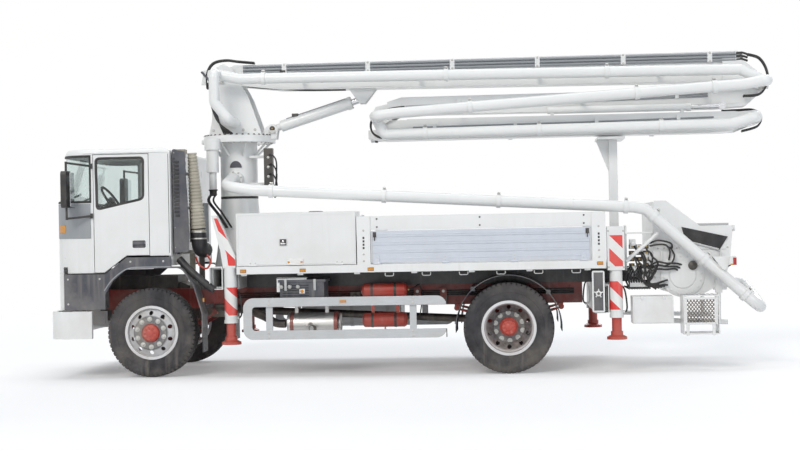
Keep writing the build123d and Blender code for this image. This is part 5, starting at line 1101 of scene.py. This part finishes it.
# ------------------------------ side guards
post_places, rail_bolt_heights = (-1.75, -0.03), (0.47, 0.52, 0.86, 0.91)
guards = Shape(bolt_steel)
for s in (LEFT, RIGHT):
    for x in post_places:
        for z in rail_bolt_heights:
            guards.bolt((x, s * 1.2235, z), (0, s, 0), 0.015)
    guards.use(black_plastic)
    for z in (0.495, 0.885):
        guards.box((0.362, s * 1.195, z - 0.05), (0.372, s * 1.2245, z + 0.05))
    guards.use(amber).box((-0.9, s * 1.222, 0.872), (-0.82, s * 1.2295, 0.9))
    guards.use(bolt_steel)
guards.finish("guard_details", "chassis", fine)

# ------------------------------ on the rails
box_low, box_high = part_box("battery_box")
vents, vent_pitch = 5, 0.03
hung = Shape(black_plastic)
for row in range(vents):
    z = 0.955 + vent_pitch * row
    hung.box((box_low.x + 0.05, -1.1755, z), (box_high.x - 0.2, -1.168, z + 0.012))
hung.use(galvanised)
for x in (box_low.x + 0.09, box_high.x - 0.13):
    hung.band([(x, -1.184, 1.155), (x, -1.1855, 1.08), (x, -1.176, 1.02)], TO_LEFT,
              0.03, 0.004)
hung.use(white).box((-1.385, -1.178, 0.985), (-1.32, -1.168, 1.04))
hung.use(amber).disc((-1.353, -1.176, 1.012), TO_LEFT, 0.021, 0.01, 18)
# muffler: straps, end rims, the outlet's dark bore and the pipe to the engine
muffler_x0, muffler_x1 = -1.56, -0.93
muffler_axis = (-0.9, 0.61)
for x in (muffler_x0 + 0.03, muffler_x1 - 0.07):
    hung.use(red_frame_painted_shade).collar((x, *muffler_axis), TO_REAR, 0.133, 0.138, 0.042, 36)
    hung.use(bolt_steel).bolt((x + 0.021, muffler_axis[0], muffler_axis[1] - 0.138), DOWN,
                              0.014, stud=0.03)
for x, way in ((muffler_x0 - 0.001, -1), (muffler_x1 + 0.001, 1)):
    hung.use(silver).turned((x, *muffler_axis), (way, 0, 0),
                            [(0, 0.126), (0.008, 0.122), (0.01, 0.1), (0.004, 0.09)], 36)
hung.use(black_paint).turned((-1.245, -1.088, 0.561), (0, -0.936, -0.351),
                             [(0, 0.047), (0.006, 0.047), (0.006, 0.041), (0.001, 0.04)], 24)
hung.use(dark_steel).tube([(-1.6, -0.9, 0.61), (-1.72, -0.88, 0.62), (-1.9, -0.75, 0.7),
                           (-2.2, -0.52, 0.78), (-2.55, -0.4, 0.8)], 0.05, 14)
# air tanks: straps, drain valves, fittings and pipes
tank_y = -0.89
for z in (1.0, 0.64):
    for x in (-0.555, -0.275):
        hung.use(black_paint).collar((x, tank_y, z), TO_REAR, 0.0865, 0.0895, 0.03, 32)
    for x, way in ((-0.632, -1), (-0.148, 1)):
        hung.use(red).turned((x, tank_y, z), (way, 0, 0),
                             [(0, 0.083), (0.014, 0.076), (0.024, 0.06), (0.03, 0.03)], 28)
    hung.use(brass).rod((-0.39, tank_y, z - 0.084), (-0.39, tank_y, z - 0.112), 0.009, 8)
    hung.rod((-0.11, tank_y, z), (-0.09, tank_y, z), 0.01, 8)
    hung.use(black_rubber).tube([(-0.1, tank_y, z), (-0.04, -0.86, z + 0.02),
                                 (0.02, -0.7, z + 0.05), (0.04, -0.46, 0.92)], 0.007, 8)
# red bracket plates and a brake valve behind, on the rail
for x in (-0.7, -0.02, 0.3):
    hung.use(red_frame_painted_shade).box((x - 0.04, -0.5, 0.8), (x + 0.04, -0.42, 1.0))
    hung.use(bolt_steel)
    for z in (0.84, 0.96):
        hung.bolt((x, -0.5, z), TO_LEFT, 0.02)
hung.use(dark_steel).box((-0.84, -0.6, 0.84), (-0.72, -0.43, 0.97))
hung.turned((-0.78, -0.6, 0.9), TO_LEFT, [(0, 0.045), (0.05, 0.045), (0.06, 0.03)], 18)
hung.finish("hung_details", "chassis", thin)

# bolts and pipes along both chassis rails
rails = Shape(red_frame_painted_shade)
rail_bolts, first_bolt_x, bolt_pitch = 22, -2.35, 0.2
for s in (LEFT, RIGHT):
    for step in range(rail_bolts):
        x = first_bolt_x + bolt_pitch * step
        for z in (0.835, 0.995):
            rails.bolt((x, s * 0.4255, z), (0, s, 0), 0.02)
    rails.use(black_rubber)
    for z, r in ((0.915, 0.01), (0.94, 0.008), (0.965, 0.007)):
        rails.tube([(-2.4, s * 0.44, z), (-0.8, s * 0.437, z + 0.004), (0.4, s * 0.437, z - 0.003),
                    (1.9, s * 0.44, z)], r, 6, 4)
    rails.use(red_frame_painted_shade)
rails.finish("rail_fixings", "chassis")

# right side: the straps and caps of the fuel and water tanks, and a sight tube
right = Shape(galvanised)
for x in (-1.42, -0.95, -0.48):
    right.frame((x, 0.508, 0.478), (x, 1.132, 1.002), TO_REAR, 0.09, 0.006, 0.045)
right.use(black_plastic).disc((-1.3, 0.9, 1.038), UP, 0.066, 0.035, 28)
right.use(mill_aluminium)
for x in (-1.76, -1.2):
    right.frame((x, 0.668, 1.308), (x, 1.192, 1.932), TO_REAR, 0.12, 0.006, 0.04)
right.use(black_plastic).disc((-1.45, 0.93, 1.968), UP, 0.098, 0.025, 28)
right.use(clear_lens).rod((-0.93, 1.205, 1.42), (-0.93, 1.205, 1.82), 0.008, 10)
right.use(brass)
for z in (1.42, 1.82):
    right.rod((-0.93, 1.18, z), (-0.93, 1.212, z), 0.013, 10)
right.finish("right_tank_details", "chassis", thin)

# ------------------------------ rear end
# the cover on the end of a tunnel: a dark panel in a white frame, with a wing knob
cover, cover_y = Shape(dark_plastic), -1.196
cover.box((2.092, cover_y, 0.718), (2.22, -1.176, 1.186))
cover.use(white).frame((2.092, cover_y, 0.718), (2.22, cover_y, 1.186), TO_LEFT, 0.012,
                       0.02, 0.018)
knob = Vector((2.156, cover_y, 0.93))
cover.disc(knob, TO_LEFT, 0.034, 0.028, 24)
wings, wing_reach = 5, 0.055
for turn in range(wings):
    a = 2 * pi * turn / wings + 0.3
    cover.rod(knob + Vector((0, -0.014, 0)),
              knob + Vector((wing_reach * cos(a), -0.014, wing_reach * sin(a))), 0.008, 8)
cover.use(dark_steel).disc(knob + Vector((0, -0.027, 0)), TO_LEFT, 0.016, 0.006, 16)
cover.finish("tunnel_cover", "chassis", thin)

# the round cover on the hopper's side, its bearing and bolts, on the agitator's axis
agitator_axis = pivots["agitator_spin"]
edge_bolts, edge_bolt_pitch, strip_bolts = 12, 0.075, 6
bin_ = Shape(white)
for s in (LEFT, RIGHT):
    way = (0, s, 0)
    spot = (agitator_axis.x - 0.12, s * 0.779, 1.116)
    bin_.use(white).turned(spot, way, [(0, 0.262), (0.014, 0.262), (0.018, 0.256), (0.018, 0.165),
                                       (0.03, 0.15), (0.03, 0.08)], 48)
    bin_.bolt_circle((spot[0], s * 0.796, spot[2]), way, 0.225, 16, 0.016, 0.1)
    bin_.use(dark_steel).disc((agitator_axis.x, s * 0.792, agitator_axis.z), way, 0.055, 0.045, 24)
    bin_.use(bolt_steel)
    for step in range(edge_bolts):
        bin_.bolt((2.895 + edge_bolt_pitch * step, s * 0.78, 1.438), way, 0.013)
# the black rubber collar round the bin's mouth, held by a clamped strip
bin_.use(black_rubber)
for s in (LEFT, RIGHT):
    bin_.prism([(3.176, 1.692), (3.722, 1.566), (3.617, 1.406), (3.223, 1.516)],
               s * 0.793, s * 0.803)
    bin_.use(galvanised).band([(3.23, s * 0.806, 1.522), (3.61, s * 0.806, 1.416)],
                              (0, s, 0), 0.022, 0.006)
    bin_.use(bolt_steel)
    for step in range(strip_bolts):
        share = (step + 0.5) / strip_bolts
        bin_.bolt((3.23 + 0.38 * share, s * 0.808, 1.522 - 0.106 * share), (0, s, 0), 0.01)
    bin_.use(black_rubber)
bin_.use(white).wire([(3.79, -0.78, 1.7), (3.802, -0.78, 1.64), (3.802, 0.78, 1.64),
                      (3.79, 0.78, 1.7)], 0.012, 0.03)
bin_.finish("hopper_details", "chassis", thin)

# lamp arms: gusset plates, flaps, lenses and cables
rear_lamps, lamp_z0, lamp_z1 = Shape(white), 1.235, 1.322
for s in (LEFT, RIGHT):
    rear_lamps.use(white).prism([(3.5, 1.335), (3.77, 1.34), (3.77, 1.325), (3.7, 1.25),
                                 (3.64, 1.175), (3.61, 1.19)], s * 1.08, s * 1.086)
    rear_lamps.use(black_rubber).prism([(3.515, 1.33), (3.59, 1.328), (3.68, 1.195),
                                        (3.6, 1.19)], s * 0.9, s * 0.91)
    rear_lamps.use(red_lens).box((3.7585, s * 1.04, lamp_z0), (3.772, s * 1.128, lamp_z1))
    rear_lamps.box((3.733, s * 1.08, lamp_z0), (3.7595, s * 1.14, lamp_z1))
    rear_lamps.use(amber).box((3.7585, s * 1.0, lamp_z0), (3.772, s * 1.036, lamp_z1))
    rear_lamps.box((3.702, s * 1.085, lamp_z0), (3.732, s * 1.139, lamp_z1))
    rear_lamps.use(black_rubber).tube([(3.735, s * 1.03, 1.262), (3.7, s * 0.98, 1.22),
                                       (3.6, s * 0.9, 1.24), (3.5, s * 0.82, 1.26)], 0.007, 8)
rear_lamps.finish("rear_lamps", "chassis", thin)

# the step cage's mesh in its white frame, on two feet
cage = Shape(white)
x0, x1, z0, z1, y = 3.168, 3.509, 0.56, 0.852, -1.186
cage.frame((x0, y, z0), (x1, y, z1), TO_LEFT, 0.01, 0.026, 0.014)
for x in (x0 + 0.02, x1 - 0.02):
    cage.box((x - 0.018, y - 0.004, 0.418), (x + 0.018, y + 0.01, z0))
for x in (x0 - 0.028, x1 + 0.012):
    cage.box((x, y - 0.003, 0.545), (x + 0.016, y + 0.008, 0.89))
cage.use(dark_steel)
cells, rise = 9, 6
for i in range(-rise, cells):
    for way in (1, -1):
        a = Vector((x0 + (x1 - x0) * i / cells, 0, z0))
        b = Vector((x0 + (x1 - x0) * (i + rise) / cells, 0, z1))
        start = max(0.0, (x0 - a.x) / (b.x - a.x))
        stop = min(1.0, (x1 - a.x) / (b.x - a.x))
        p, q = a.lerp(b, start), a.lerp(b, stop)
        if way < 0:
            p.x, q.x = x0 + x1 - p.x, x0 + x1 - q.x
        cage.rod((p.x, y - 0.001 * way, p.z), (q.x, y - 0.001 * way, q.z), 0.0062, 6)
cage.use(mill_aluminium)
treads, tread_pitch = 8, 0.048
for step in range(treads):
    x = tread_pitch * step
    cage.box((3.16 + x, -1.165, 0.888), (3.184 + x, -0.83, 0.893))
cage.finish("step_mesh", "chassis")

# the closed box's lid edge and catches
chest = Shape(white)
chest.frame((2.572, -1.1915, 0.582), (3.008, -1.1915, 0.868), TO_LEFT, 0.02, 0.012, 0.005)
chest.use(chrome)
for x in (2.66, 2.92):
    chest.box((x - 0.014, -1.2, 0.845), (x + 0.014, -1.19, 0.88))
chest.finish("rear_box_trim", "chassis", thin)

# the control block between the rear leg and the hopper: valves, filters, fittings and hoses
valves = Shape(white)
valves.box((2.505, -0.8, 1.18), (2.525, -0.52, 1.72))
valves.box((2.5, -0.86, 1.62), (2.83, -0.6, 1.64))
valves.rod((2.5, -0.9, 1.29), (2.895, -0.86, 1.625), 0.024, 14)
valves.box((2.55, -0.83, 0.985), (2.8, -0.62, 1.065))
for x, z in ((2.56, 1.5), (2.64, 1.43), (2.7, 1.34)):
    valves.box((x, -0.82, z - 0.055), (x + 0.07, -0.66, z + 0.055))
    valves.turned((x + 0.035, -0.82, z), TO_LEFT,
                  [(0, 0.026), (0.045, 0.026), (0.05, 0.018)], 18)
valves.turned((2.6, -0.8, 1.11), UP, [(0, 0.062), (0.11, 0.062), (0.125, 0.05)], 28)
valves.turned((2.735, -0.8, 1.07), UP, [(0, 0.07), (0.13, 0.07), (0.15, 0.045)], 28)
valves.use(dark_steel)
valve_rows, valves_in_row = 4, 3
for row in range(valve_rows):
    for place in range(valves_in_row):
        x, z = 2.555 + 0.085 * place, 1.215 + 0.075 * row
        valves.box((x, -0.79, z), (x + 0.06, -0.68, z + 0.05))
        valves.use(brass).turned((x + 0.03, -0.79, z + 0.025), TO_LEFT,
                                 [(0, 0.015), (0.022, 0.015), (0.024, 0.01), (0.045, 0.01)], 8)
        valves.use(dark_steel)
valves.finish("control_block", "chassis", soft)

hoses, hose_radius, bundle = Shape(black_rubber), 0.0115, 9
arc = ((2.56, 1.24), (2.64, 1.32), (2.7, 1.4), (2.61, 1.47), (2.79, 1.3),
       (2.76, 1.23), (2.67, 1.215), (2.59, 1.39), (2.74, 1.46), (2.8, 1.38))
for number, (x, z) in enumerate(arc):
    sway = 0.03 * sin(2.4 * number)
    end_x = 2.86 + 0.035 * (number % 5)
    hoses.tube([(x, -0.83, z), (x + 0.02, -0.88 - 0.01 * (number % 3), z - 0.04),
                (x + 0.07 + sway, -0.885, z - 0.13), (2.76 + sway, -0.85, 1.02),
                (end_x, -0.83, 0.955 + 0.012 * number)], hose_radius, 8)
# long loops to the hopper's side, and a bundle that drops to the chassis
for z, lift, end_x, end_z in ((1.5, 0.035, 3.06, 1.44), (1.47, 0.015, 3.02, 1.3),
                              (1.235, 0.045, 3.17, 1.24), (1.2, 0.04, 3.15, 1.2),
                              (1.175, 0.02, 3.12, 1.175)):
    hoses.tube([(2.79, -0.84, z), (2.88, -0.86, z + lift), (2.98, -0.86, z + lift * 0.6),
                ((2.98 + end_x) / 2 + 0.03, -0.845, (z + end_z) / 2 + 0.02),
                (end_x, -0.8, end_z)], 0.011, 8)
for number in range(bundle):
    x = 2.515 + 0.03 * number
    hoses.tube([(x + 0.05, -0.83, 1.235), (x, -0.86, 1.15), (x - 0.01, -0.84, 1.06),
                (x + 0.03, -0.74, 0.985), (x + 0.05, -0.58, 0.955), (x, -0.45, 0.98)],
               hose_radius, 8)
hoses.tube([(3.03, -0.84, 1.455), (3.08, -0.85, 1.36), (3.05, -0.85, 1.27),
            (2.95, -0.85, 1.225)], 0.01, 8)
hoses.finish("control_hoses", "chassis")


def couplings(shape, start, end, shares, radius):
    """Two lugs and a bolt on each clamp of a straight pipe."""
    start, end = Vector(start), Vector(end)
    way = (end - start).normalized()
    out = way.cross(Vector(UP)).normalized()
    up = out.cross(way)
    lug_half, bolt_half = way * 0.018, out * 0.042
    for share in shares:
        spot = start.lerp(end, share)
        for s in (-1, 1):
            root = spot + up * (radius + 0.012) + out * s * 0.016
            shape.rod(root - lug_half, root + lug_half, 0.013, 8)
        bolt = spot + up * (radius + 0.014)
        shape.rod(bolt - bolt_half, bolt + bolt_half, 0.006, 8)
    return shape


pipe_fixings, pipe_y, pipe_radius = Shape(bolt_steel), -1.0, 0.082
for start, end, shares in (
        ((4.085, pipe_y, 0.7), (2.735, pipe_y, 1.912), (0.15, 0.5, 0.93)),
        ((2.6, pipe_y, 1.938), (-1.96, pipe_y, 2.235), (0.02, 0.35, 0.65, 0.95))):
    couplings(pipe_fixings, start, end, shares, pipe_radius)
pipe_fixings.bolt_circle((slew_x, -0.33, 2.4), TO_LEFT, 0.086, 8, 0.014, 0.2)
half_round = [(slew_x + 0.075 * cos(a), 2.545 + 0.085 * sin(a))
              for a in (pi * i / 14 for i in range(15))]
pipe_fixings.use(dark_plastic).prism(half_round, -0.239, -0.205)
pipe_fixings.use(black_rubber).turned((slew_x, 0, 2.155), UP,
                                      [(0, 0.2375), (0.03, 0.2375)], 40)
pipe_fixings.finish("delivery_line_fixings", "chassis")

# ------------------------------ turret and boom
root, hinge_a = (-2.48, 3.7), (4.26, 3.44)
hinge_b, hinge_c = (-0.5, 3.12), (4.15, 3.02)
boom_pipe, hinge_pin, strands, strand_pitch = 0.08, 0.042, 3, 0.026


def pin_head(shape, spot, side_y, way, radius):
    """The end of a hinge pin: its rim, the grease nipple and the keeper plate with two bolts."""
    x, z = spot
    shape.use(dark_steel).turned((x, side_y, z), (0, way, 0),
                                 [(0, radius), (0.006, radius), (0.009, radius - 0.005)], 28)
    shape.use(bolt_steel).box((x - 0.045, side_y + way * 0.001, z - radius - 0.03),
                              (x + 0.045, side_y + way * 0.013, z - radius + 0.014))
    for dx in (-0.028, 0.028):
        shape.bolt((x + dx, side_y + way * 0.012, z - radius - 0.008), (0, way, 0), 0.016)
    shape.use(brass).rod((x, side_y, z), (x, side_y + way * 0.02, z), 0.006, 8)


def clipped_lines(shape, line, y, radius, clips, clip_y, clip_z, slope):
    """Two grey pipes, one over the other, along a boom section, and the white clips on them."""
    shape.use(grey_paint)
    for lift in (0.0, 0.032):
        shape.tube([(x, y, z + lift) for x, z in line], radius, 8, 3)
    shape.use(white)
    for x in clips:
        shape.box((x, clip_y[0], clip_z[0] + slope * x),
                  (x + 0.045, clip_y[1], clip_z[1] + slope * x))


tower = Shape(dark_steel)
for s in (LEFT, RIGHT):
    pin_head(tower, root, s * 0.2335, s, 0.05)
    tower.use(bolt_steel)
    for x in (-2.58, -2.4, -2.2, -2.05):
        tower.bolt((x, s * 0.212, 3.02), (0, s, 0), 0.02)
tower.use(dark_plastic).prism([(-2.735, 3.76), (-2.715, 3.78), (-2.56, 3.6), (-2.56, 3.565)],
                              -0.2, -0.18)
tower.use(white).prism([(-2.73, 3.6), (-2.7, 3.79), (-2.6, 3.79), (-2.56, 3.6)], -0.18, -0.168)
tower.use(black_rubber)
tower_hoses = 5
for number in range(tower_hoses):
    y = -0.225 - 0.016 * number
    tower.tube([(-2.44 + 0.03 * number, y, 2.97), (-2.5, y - 0.01, 3.12),
                (-2.55 - 0.008 * number, y, 3.32), (-2.6, y + 0.02, 3.52),
                (-2.64, y + 0.04, 3.62)], 0.01, 8)
tower.finish("turret_details", "turret", fine)

section_1, line_y = Shape(grey_paint), -0.169
for z in (3.74, 3.78, 3.82):
    section_1.rod((-2.195, line_y, z), (3.945, line_y, z), 0.0168, 14)
couplings(section_1.use(bolt_steel), (-2.2, -0.45, 3.64), (3.95, -0.45, 3.59),
          (0.05, 0.42, 0.74), boom_pipe)
clips, clip_pitch = 6, 1.06
for step in range(clips):
    x = -1.67 + clip_pitch * step
    for z in (3.728, 3.832):
        section_1.bolt((x, -0.1885, z), TO_LEFT, 0.016)
section_1.use(black_plastic).box((-1.725, -0.196, 3.7), (-1.655, -0.15, 3.76))
for s in (LEFT, RIGHT):
    pin_head(section_1, hinge_a, s * 0.1775, s, hinge_pin)
section_1.use(black_rubber)
for number in range(3):
    z = 3.74 + 0.04 * number
    section_1.tube([(3.94, line_y, z), (4.02, -0.172, z + 0.005), (4.09, -0.185, z - 0.02)],
                   0.014, 8)
# hydraulic lines under the section, out to the lift cylinder's eye
for y in (-0.115, -0.09):
    section_1.tube([(-2.15, y, 3.575), (-1.9, y, 3.545), (-1.4, y, 3.508), (-0.9, y, 3.5)],
                   0.009, 8)
section_1.finish("boom_1_details", "boom_section_1", fine)

section_2 = couplings(Shape(bolt_steel), (3.96, -0.62, 3.395), (-0.25, -0.62, 3.15),
                      (0.08, 0.3, 0.78), boom_pipe)
for s in (LEFT, RIGHT):
    pin_head(section_2, hinge_b, s * 0.1775, s, hinge_pin)
clipped_lines(section_2, ((3.6, 3.3), (1.6, 3.27), (-0.15, 3.235)), -0.151, 0.011,
              (3.2, 2.3, 1.4, 0.5), (-0.166, -0.138), (3.225, 3.335), 0.018)
section_2.finish("boom_2_details", "boom_section_2", fine)

section_3 = couplings(Shape(bolt_steel), (-0.4, -0.42, 2.905), (3.85, -0.42, 2.935),
                      (0.12, 0.45, 0.8), boom_pipe)
pin_head(section_3, hinge_c, -0.2755, -1, 0.04)
clipped_lines(section_3, ((-0.05, 2.96), (1.9, 2.975), (3.65, 3.0)), -0.285, 0.01,
              (0.2, 1.2, 2.2, 3.2), (-0.3, -0.272), (2.935, 3.03), 0.011)
section_3.finish("boom_3_details", "boom_section_3", fine)

section_4 = couplings(Shape(bolt_steel), (3.85, 0.4, 2.93), (-0.64, 0.4, 2.93),
                      (0.2, 0.6), boom_pipe)
section_4.use(black_rubber).turned((-0.585, 0.4, 2.93), TO_REAR,
                                   [(0, 0.078), (0.03, 0.078), (0.035, 0.072)], 24)
section_4.finish("boom_4_details", "boom_section_4", fine)

# hoses that bend over the boom's hinges
bends = (
    ("root", "turret", "boom_section_1", (-2.6, 3.55), (-2.1, 3.83), -0.12,
     ((-2.66, 3.55), (-2.66, 3.74), (-2.58, 3.87), (-2.42, 3.905), (-2.26, 3.885), (-2.05, 3.862))),
    ("hinge_a", "boom_section_1", "boom_section_2", (4.22, 3.74), (4.2, 3.14), -0.205,
     ((4.08, 3.79), (4.22, 3.74), (4.305, 3.6), (4.315, 3.44), (4.22, 3.3), (4.02, 3.28))),
    ("hinge_b", "boom_section_2", "boom_section_3", (-0.45, 3.26), (-0.4, 2.98), -0.205,
     ((-0.15, 3.25), (-0.36, 3.22), (-0.56, 3.1), (-0.56, 2.94), (-0.4, 2.87), (-0.1, 2.95))),
    ("hinge_c", "boom_section_3", "boom_section_4", (4.06, 3.02), (4.24, 3.02), 0.0,
     ((3.78, 3.115), (3.98, 3.12), (4.16, 3.12), (4.26, 3.05), (4.22, 2.92), (4.02, 2.86))),
)
for name, first, second, start, end, y, line in bends:
    loops = Shape(black_rubber)
    for strand in range(strands):
        out = y - strand_pitch * strand
        spread = 0.004 * strand
        loops.tube([(x, out, z + spread) for x, z in line], hose_radius, 8, 8)
    loops.blended(f"hoses_{name}")

lift = Shape(bolt_steel)
foot, eye = Vector((-1.85, 0, 3.035)), Vector((-0.7, 0, 3.39))
way = (eye - foot).normalized()
lift.bolt_circle(foot + way * ((eye - foot).length - 0.15), way, 0.068, 10, 0.014)
lift.use(grey_paint)
for s in (LEFT, RIGHT):
    base = foot + Vector((0, s * 0.03, 0.07))
    lift.tube([base + way * share for share in (0.18, 0.4, 0.7, 0.98)], 0.009, 8)
lift.use(dark_steel).box(foot + way * 0.3 + Vector((-0.04, -0.05, 0.06)),
                         foot + way * 0.3 + Vector((0.04, 0.05, 0.1)))
lift.finish("lift_cylinder_lines", "lift_cylinder_barrel", fine)
lift_pin = Shape(dark_steel)
for s in (LEFT, RIGHT):
    pin_head(lift_pin, (foot.x, foot.z), s * 0.0915, s, 0.034)
lift_pin.finish("lift_pin_heads", "turret")

# ------------------------------ floor and light
far = 60
floor_mesh = bpy.data.meshes.new("floor")
floor_mesh.from_pydata([(-far, -far, 0), (far, -far, 0), (far, far, 0), (-far, far, 0)], [],
                       [(0, 1, 2, 3)])
floor = bpy.data.objects.new("floor", floor_mesh)
scene.collection.objects.link(floor)
floor.location.z = -0.001


def seen_directly(tree):
    """1 for camera, glossy and transmission rays, 0 for the rest."""
    path = tree.nodes.new("ShaderNodeLightPath")
    shown = path.outputs["Is Camera Ray"]
    for kind in ("Glossy", "Transmission"):
        either = tree.nodes.new("ShaderNodeMath")
        either.operation = "MAXIMUM"
        tree.links.new(shown, either.inputs[0])
        tree.links.new(path.outputs[f"Is {kind} Ray"], either.inputs[1])
        shown = either.outputs[0]
    return shown


floor_surface = Surface("pale_floor", roughness=0.9, specular_ior_level=0.1)
floor_surface.colour(floor_surface.mix(floor_surface.span(floor_surface.noise(3), 0.3, 0.7),
                                       (0.8, 0.8, 0.8), (0.82, 0.82, 0.82)))
tree = floor_surface.tree
glow = floor_surface.add("Emission", {"Color": (1, 1, 1, 1)})
added = floor_surface.add("AddShader")
shown = seen_directly(tree)
tree.links.new(floor_surface.maths("MULTIPLY", shown, 0.2), glow.inputs["Strength"])
# far from the truck the floor turns into the white backdrop
away = floor_surface.far_from((0.0, 0.0, 0.0), "Z")
fade_start, fade_end = 9.0, 16.0
fade = floor_surface.span(away, fade_start, fade_end)
white_out = floor_surface.add("Emission", {"Color": (1, 1, 1, 1), "Strength": 1.0})
blend = floor_surface.add("MixShader", {0: floor_surface.maths("MULTIPLY", fade, shown)})
tree.links.new(floor_surface.shader.outputs[0], added.inputs[0])
tree.links.new(glow.outputs[0], added.inputs[1])
tree.links.new(added.outputs[0], blend.inputs[1])
tree.links.new(white_out.outputs[0], blend.inputs[2])
tree.links.new(blend.outputs[0], tree.nodes["Material Output"].inputs["Surface"])
floor_mesh.materials.append(floor_surface.material)

world = bpy.data.worlds.new("studio")
scene.world = world
world.use_nodes = True
sky = world.node_tree
background = sky.nodes["Background"]
background.inputs["Color"].default_value = (0.8, 0.88, 1.0, 1)
background.inputs["Strength"].default_value = 0.36
backdrop = sky.nodes.new("ShaderNodeBackground")
backdrop.inputs["Color"].default_value = (1, 1, 1, 1)
backdrop.inputs["Strength"].default_value = 1.0
both = sky.nodes.new("ShaderNodeMixShader")
sky.links.new(seen_directly(sky), both.inputs[0])
sky.links.new(background.outputs[0], both.inputs[1])
sky.links.new(backdrop.outputs[0], both.inputs[2])
sky.links.new(both.outputs[0], sky.nodes["World Output"].inputs["Surface"])


def softbox(name, spot, target, width, height, power, colour=(1, 1, 1)):
    """A large soft lamp that faces the target."""
    data = bpy.data.lights.new(name, "AREA")
    data.shape = "RECTANGLE"
    data.size, data.size_y = width, height
    data.energy = power
    data.color = colour
    lamp = bpy.data.objects.new(name, data)
    spot, target = Vector(spot), Vector(target)
    facing = (target - spot).to_track_quat("-Z", "Y").to_matrix().to_4x4()
    lamp.matrix_world = Matrix.Translation(spot) @ facing
    scene.collection.objects.link(lamp)


softbox("key", (-25, -65, 49), (0, 0, 1.5), 35, 25, 28750, (1.0, 0.97, 0.92))
softbox("top", (0, 5, 70), (0, 0, 0), 70, 35, 18000)
softbox("fill", (41, -45, 19), (1, 0, 1.5), 30, 25, 7500, (0.93, 0.96, 1.0))
softbox("rear", (10, 65, 39), (0, 0, 1.5), 50, 25, 15000)
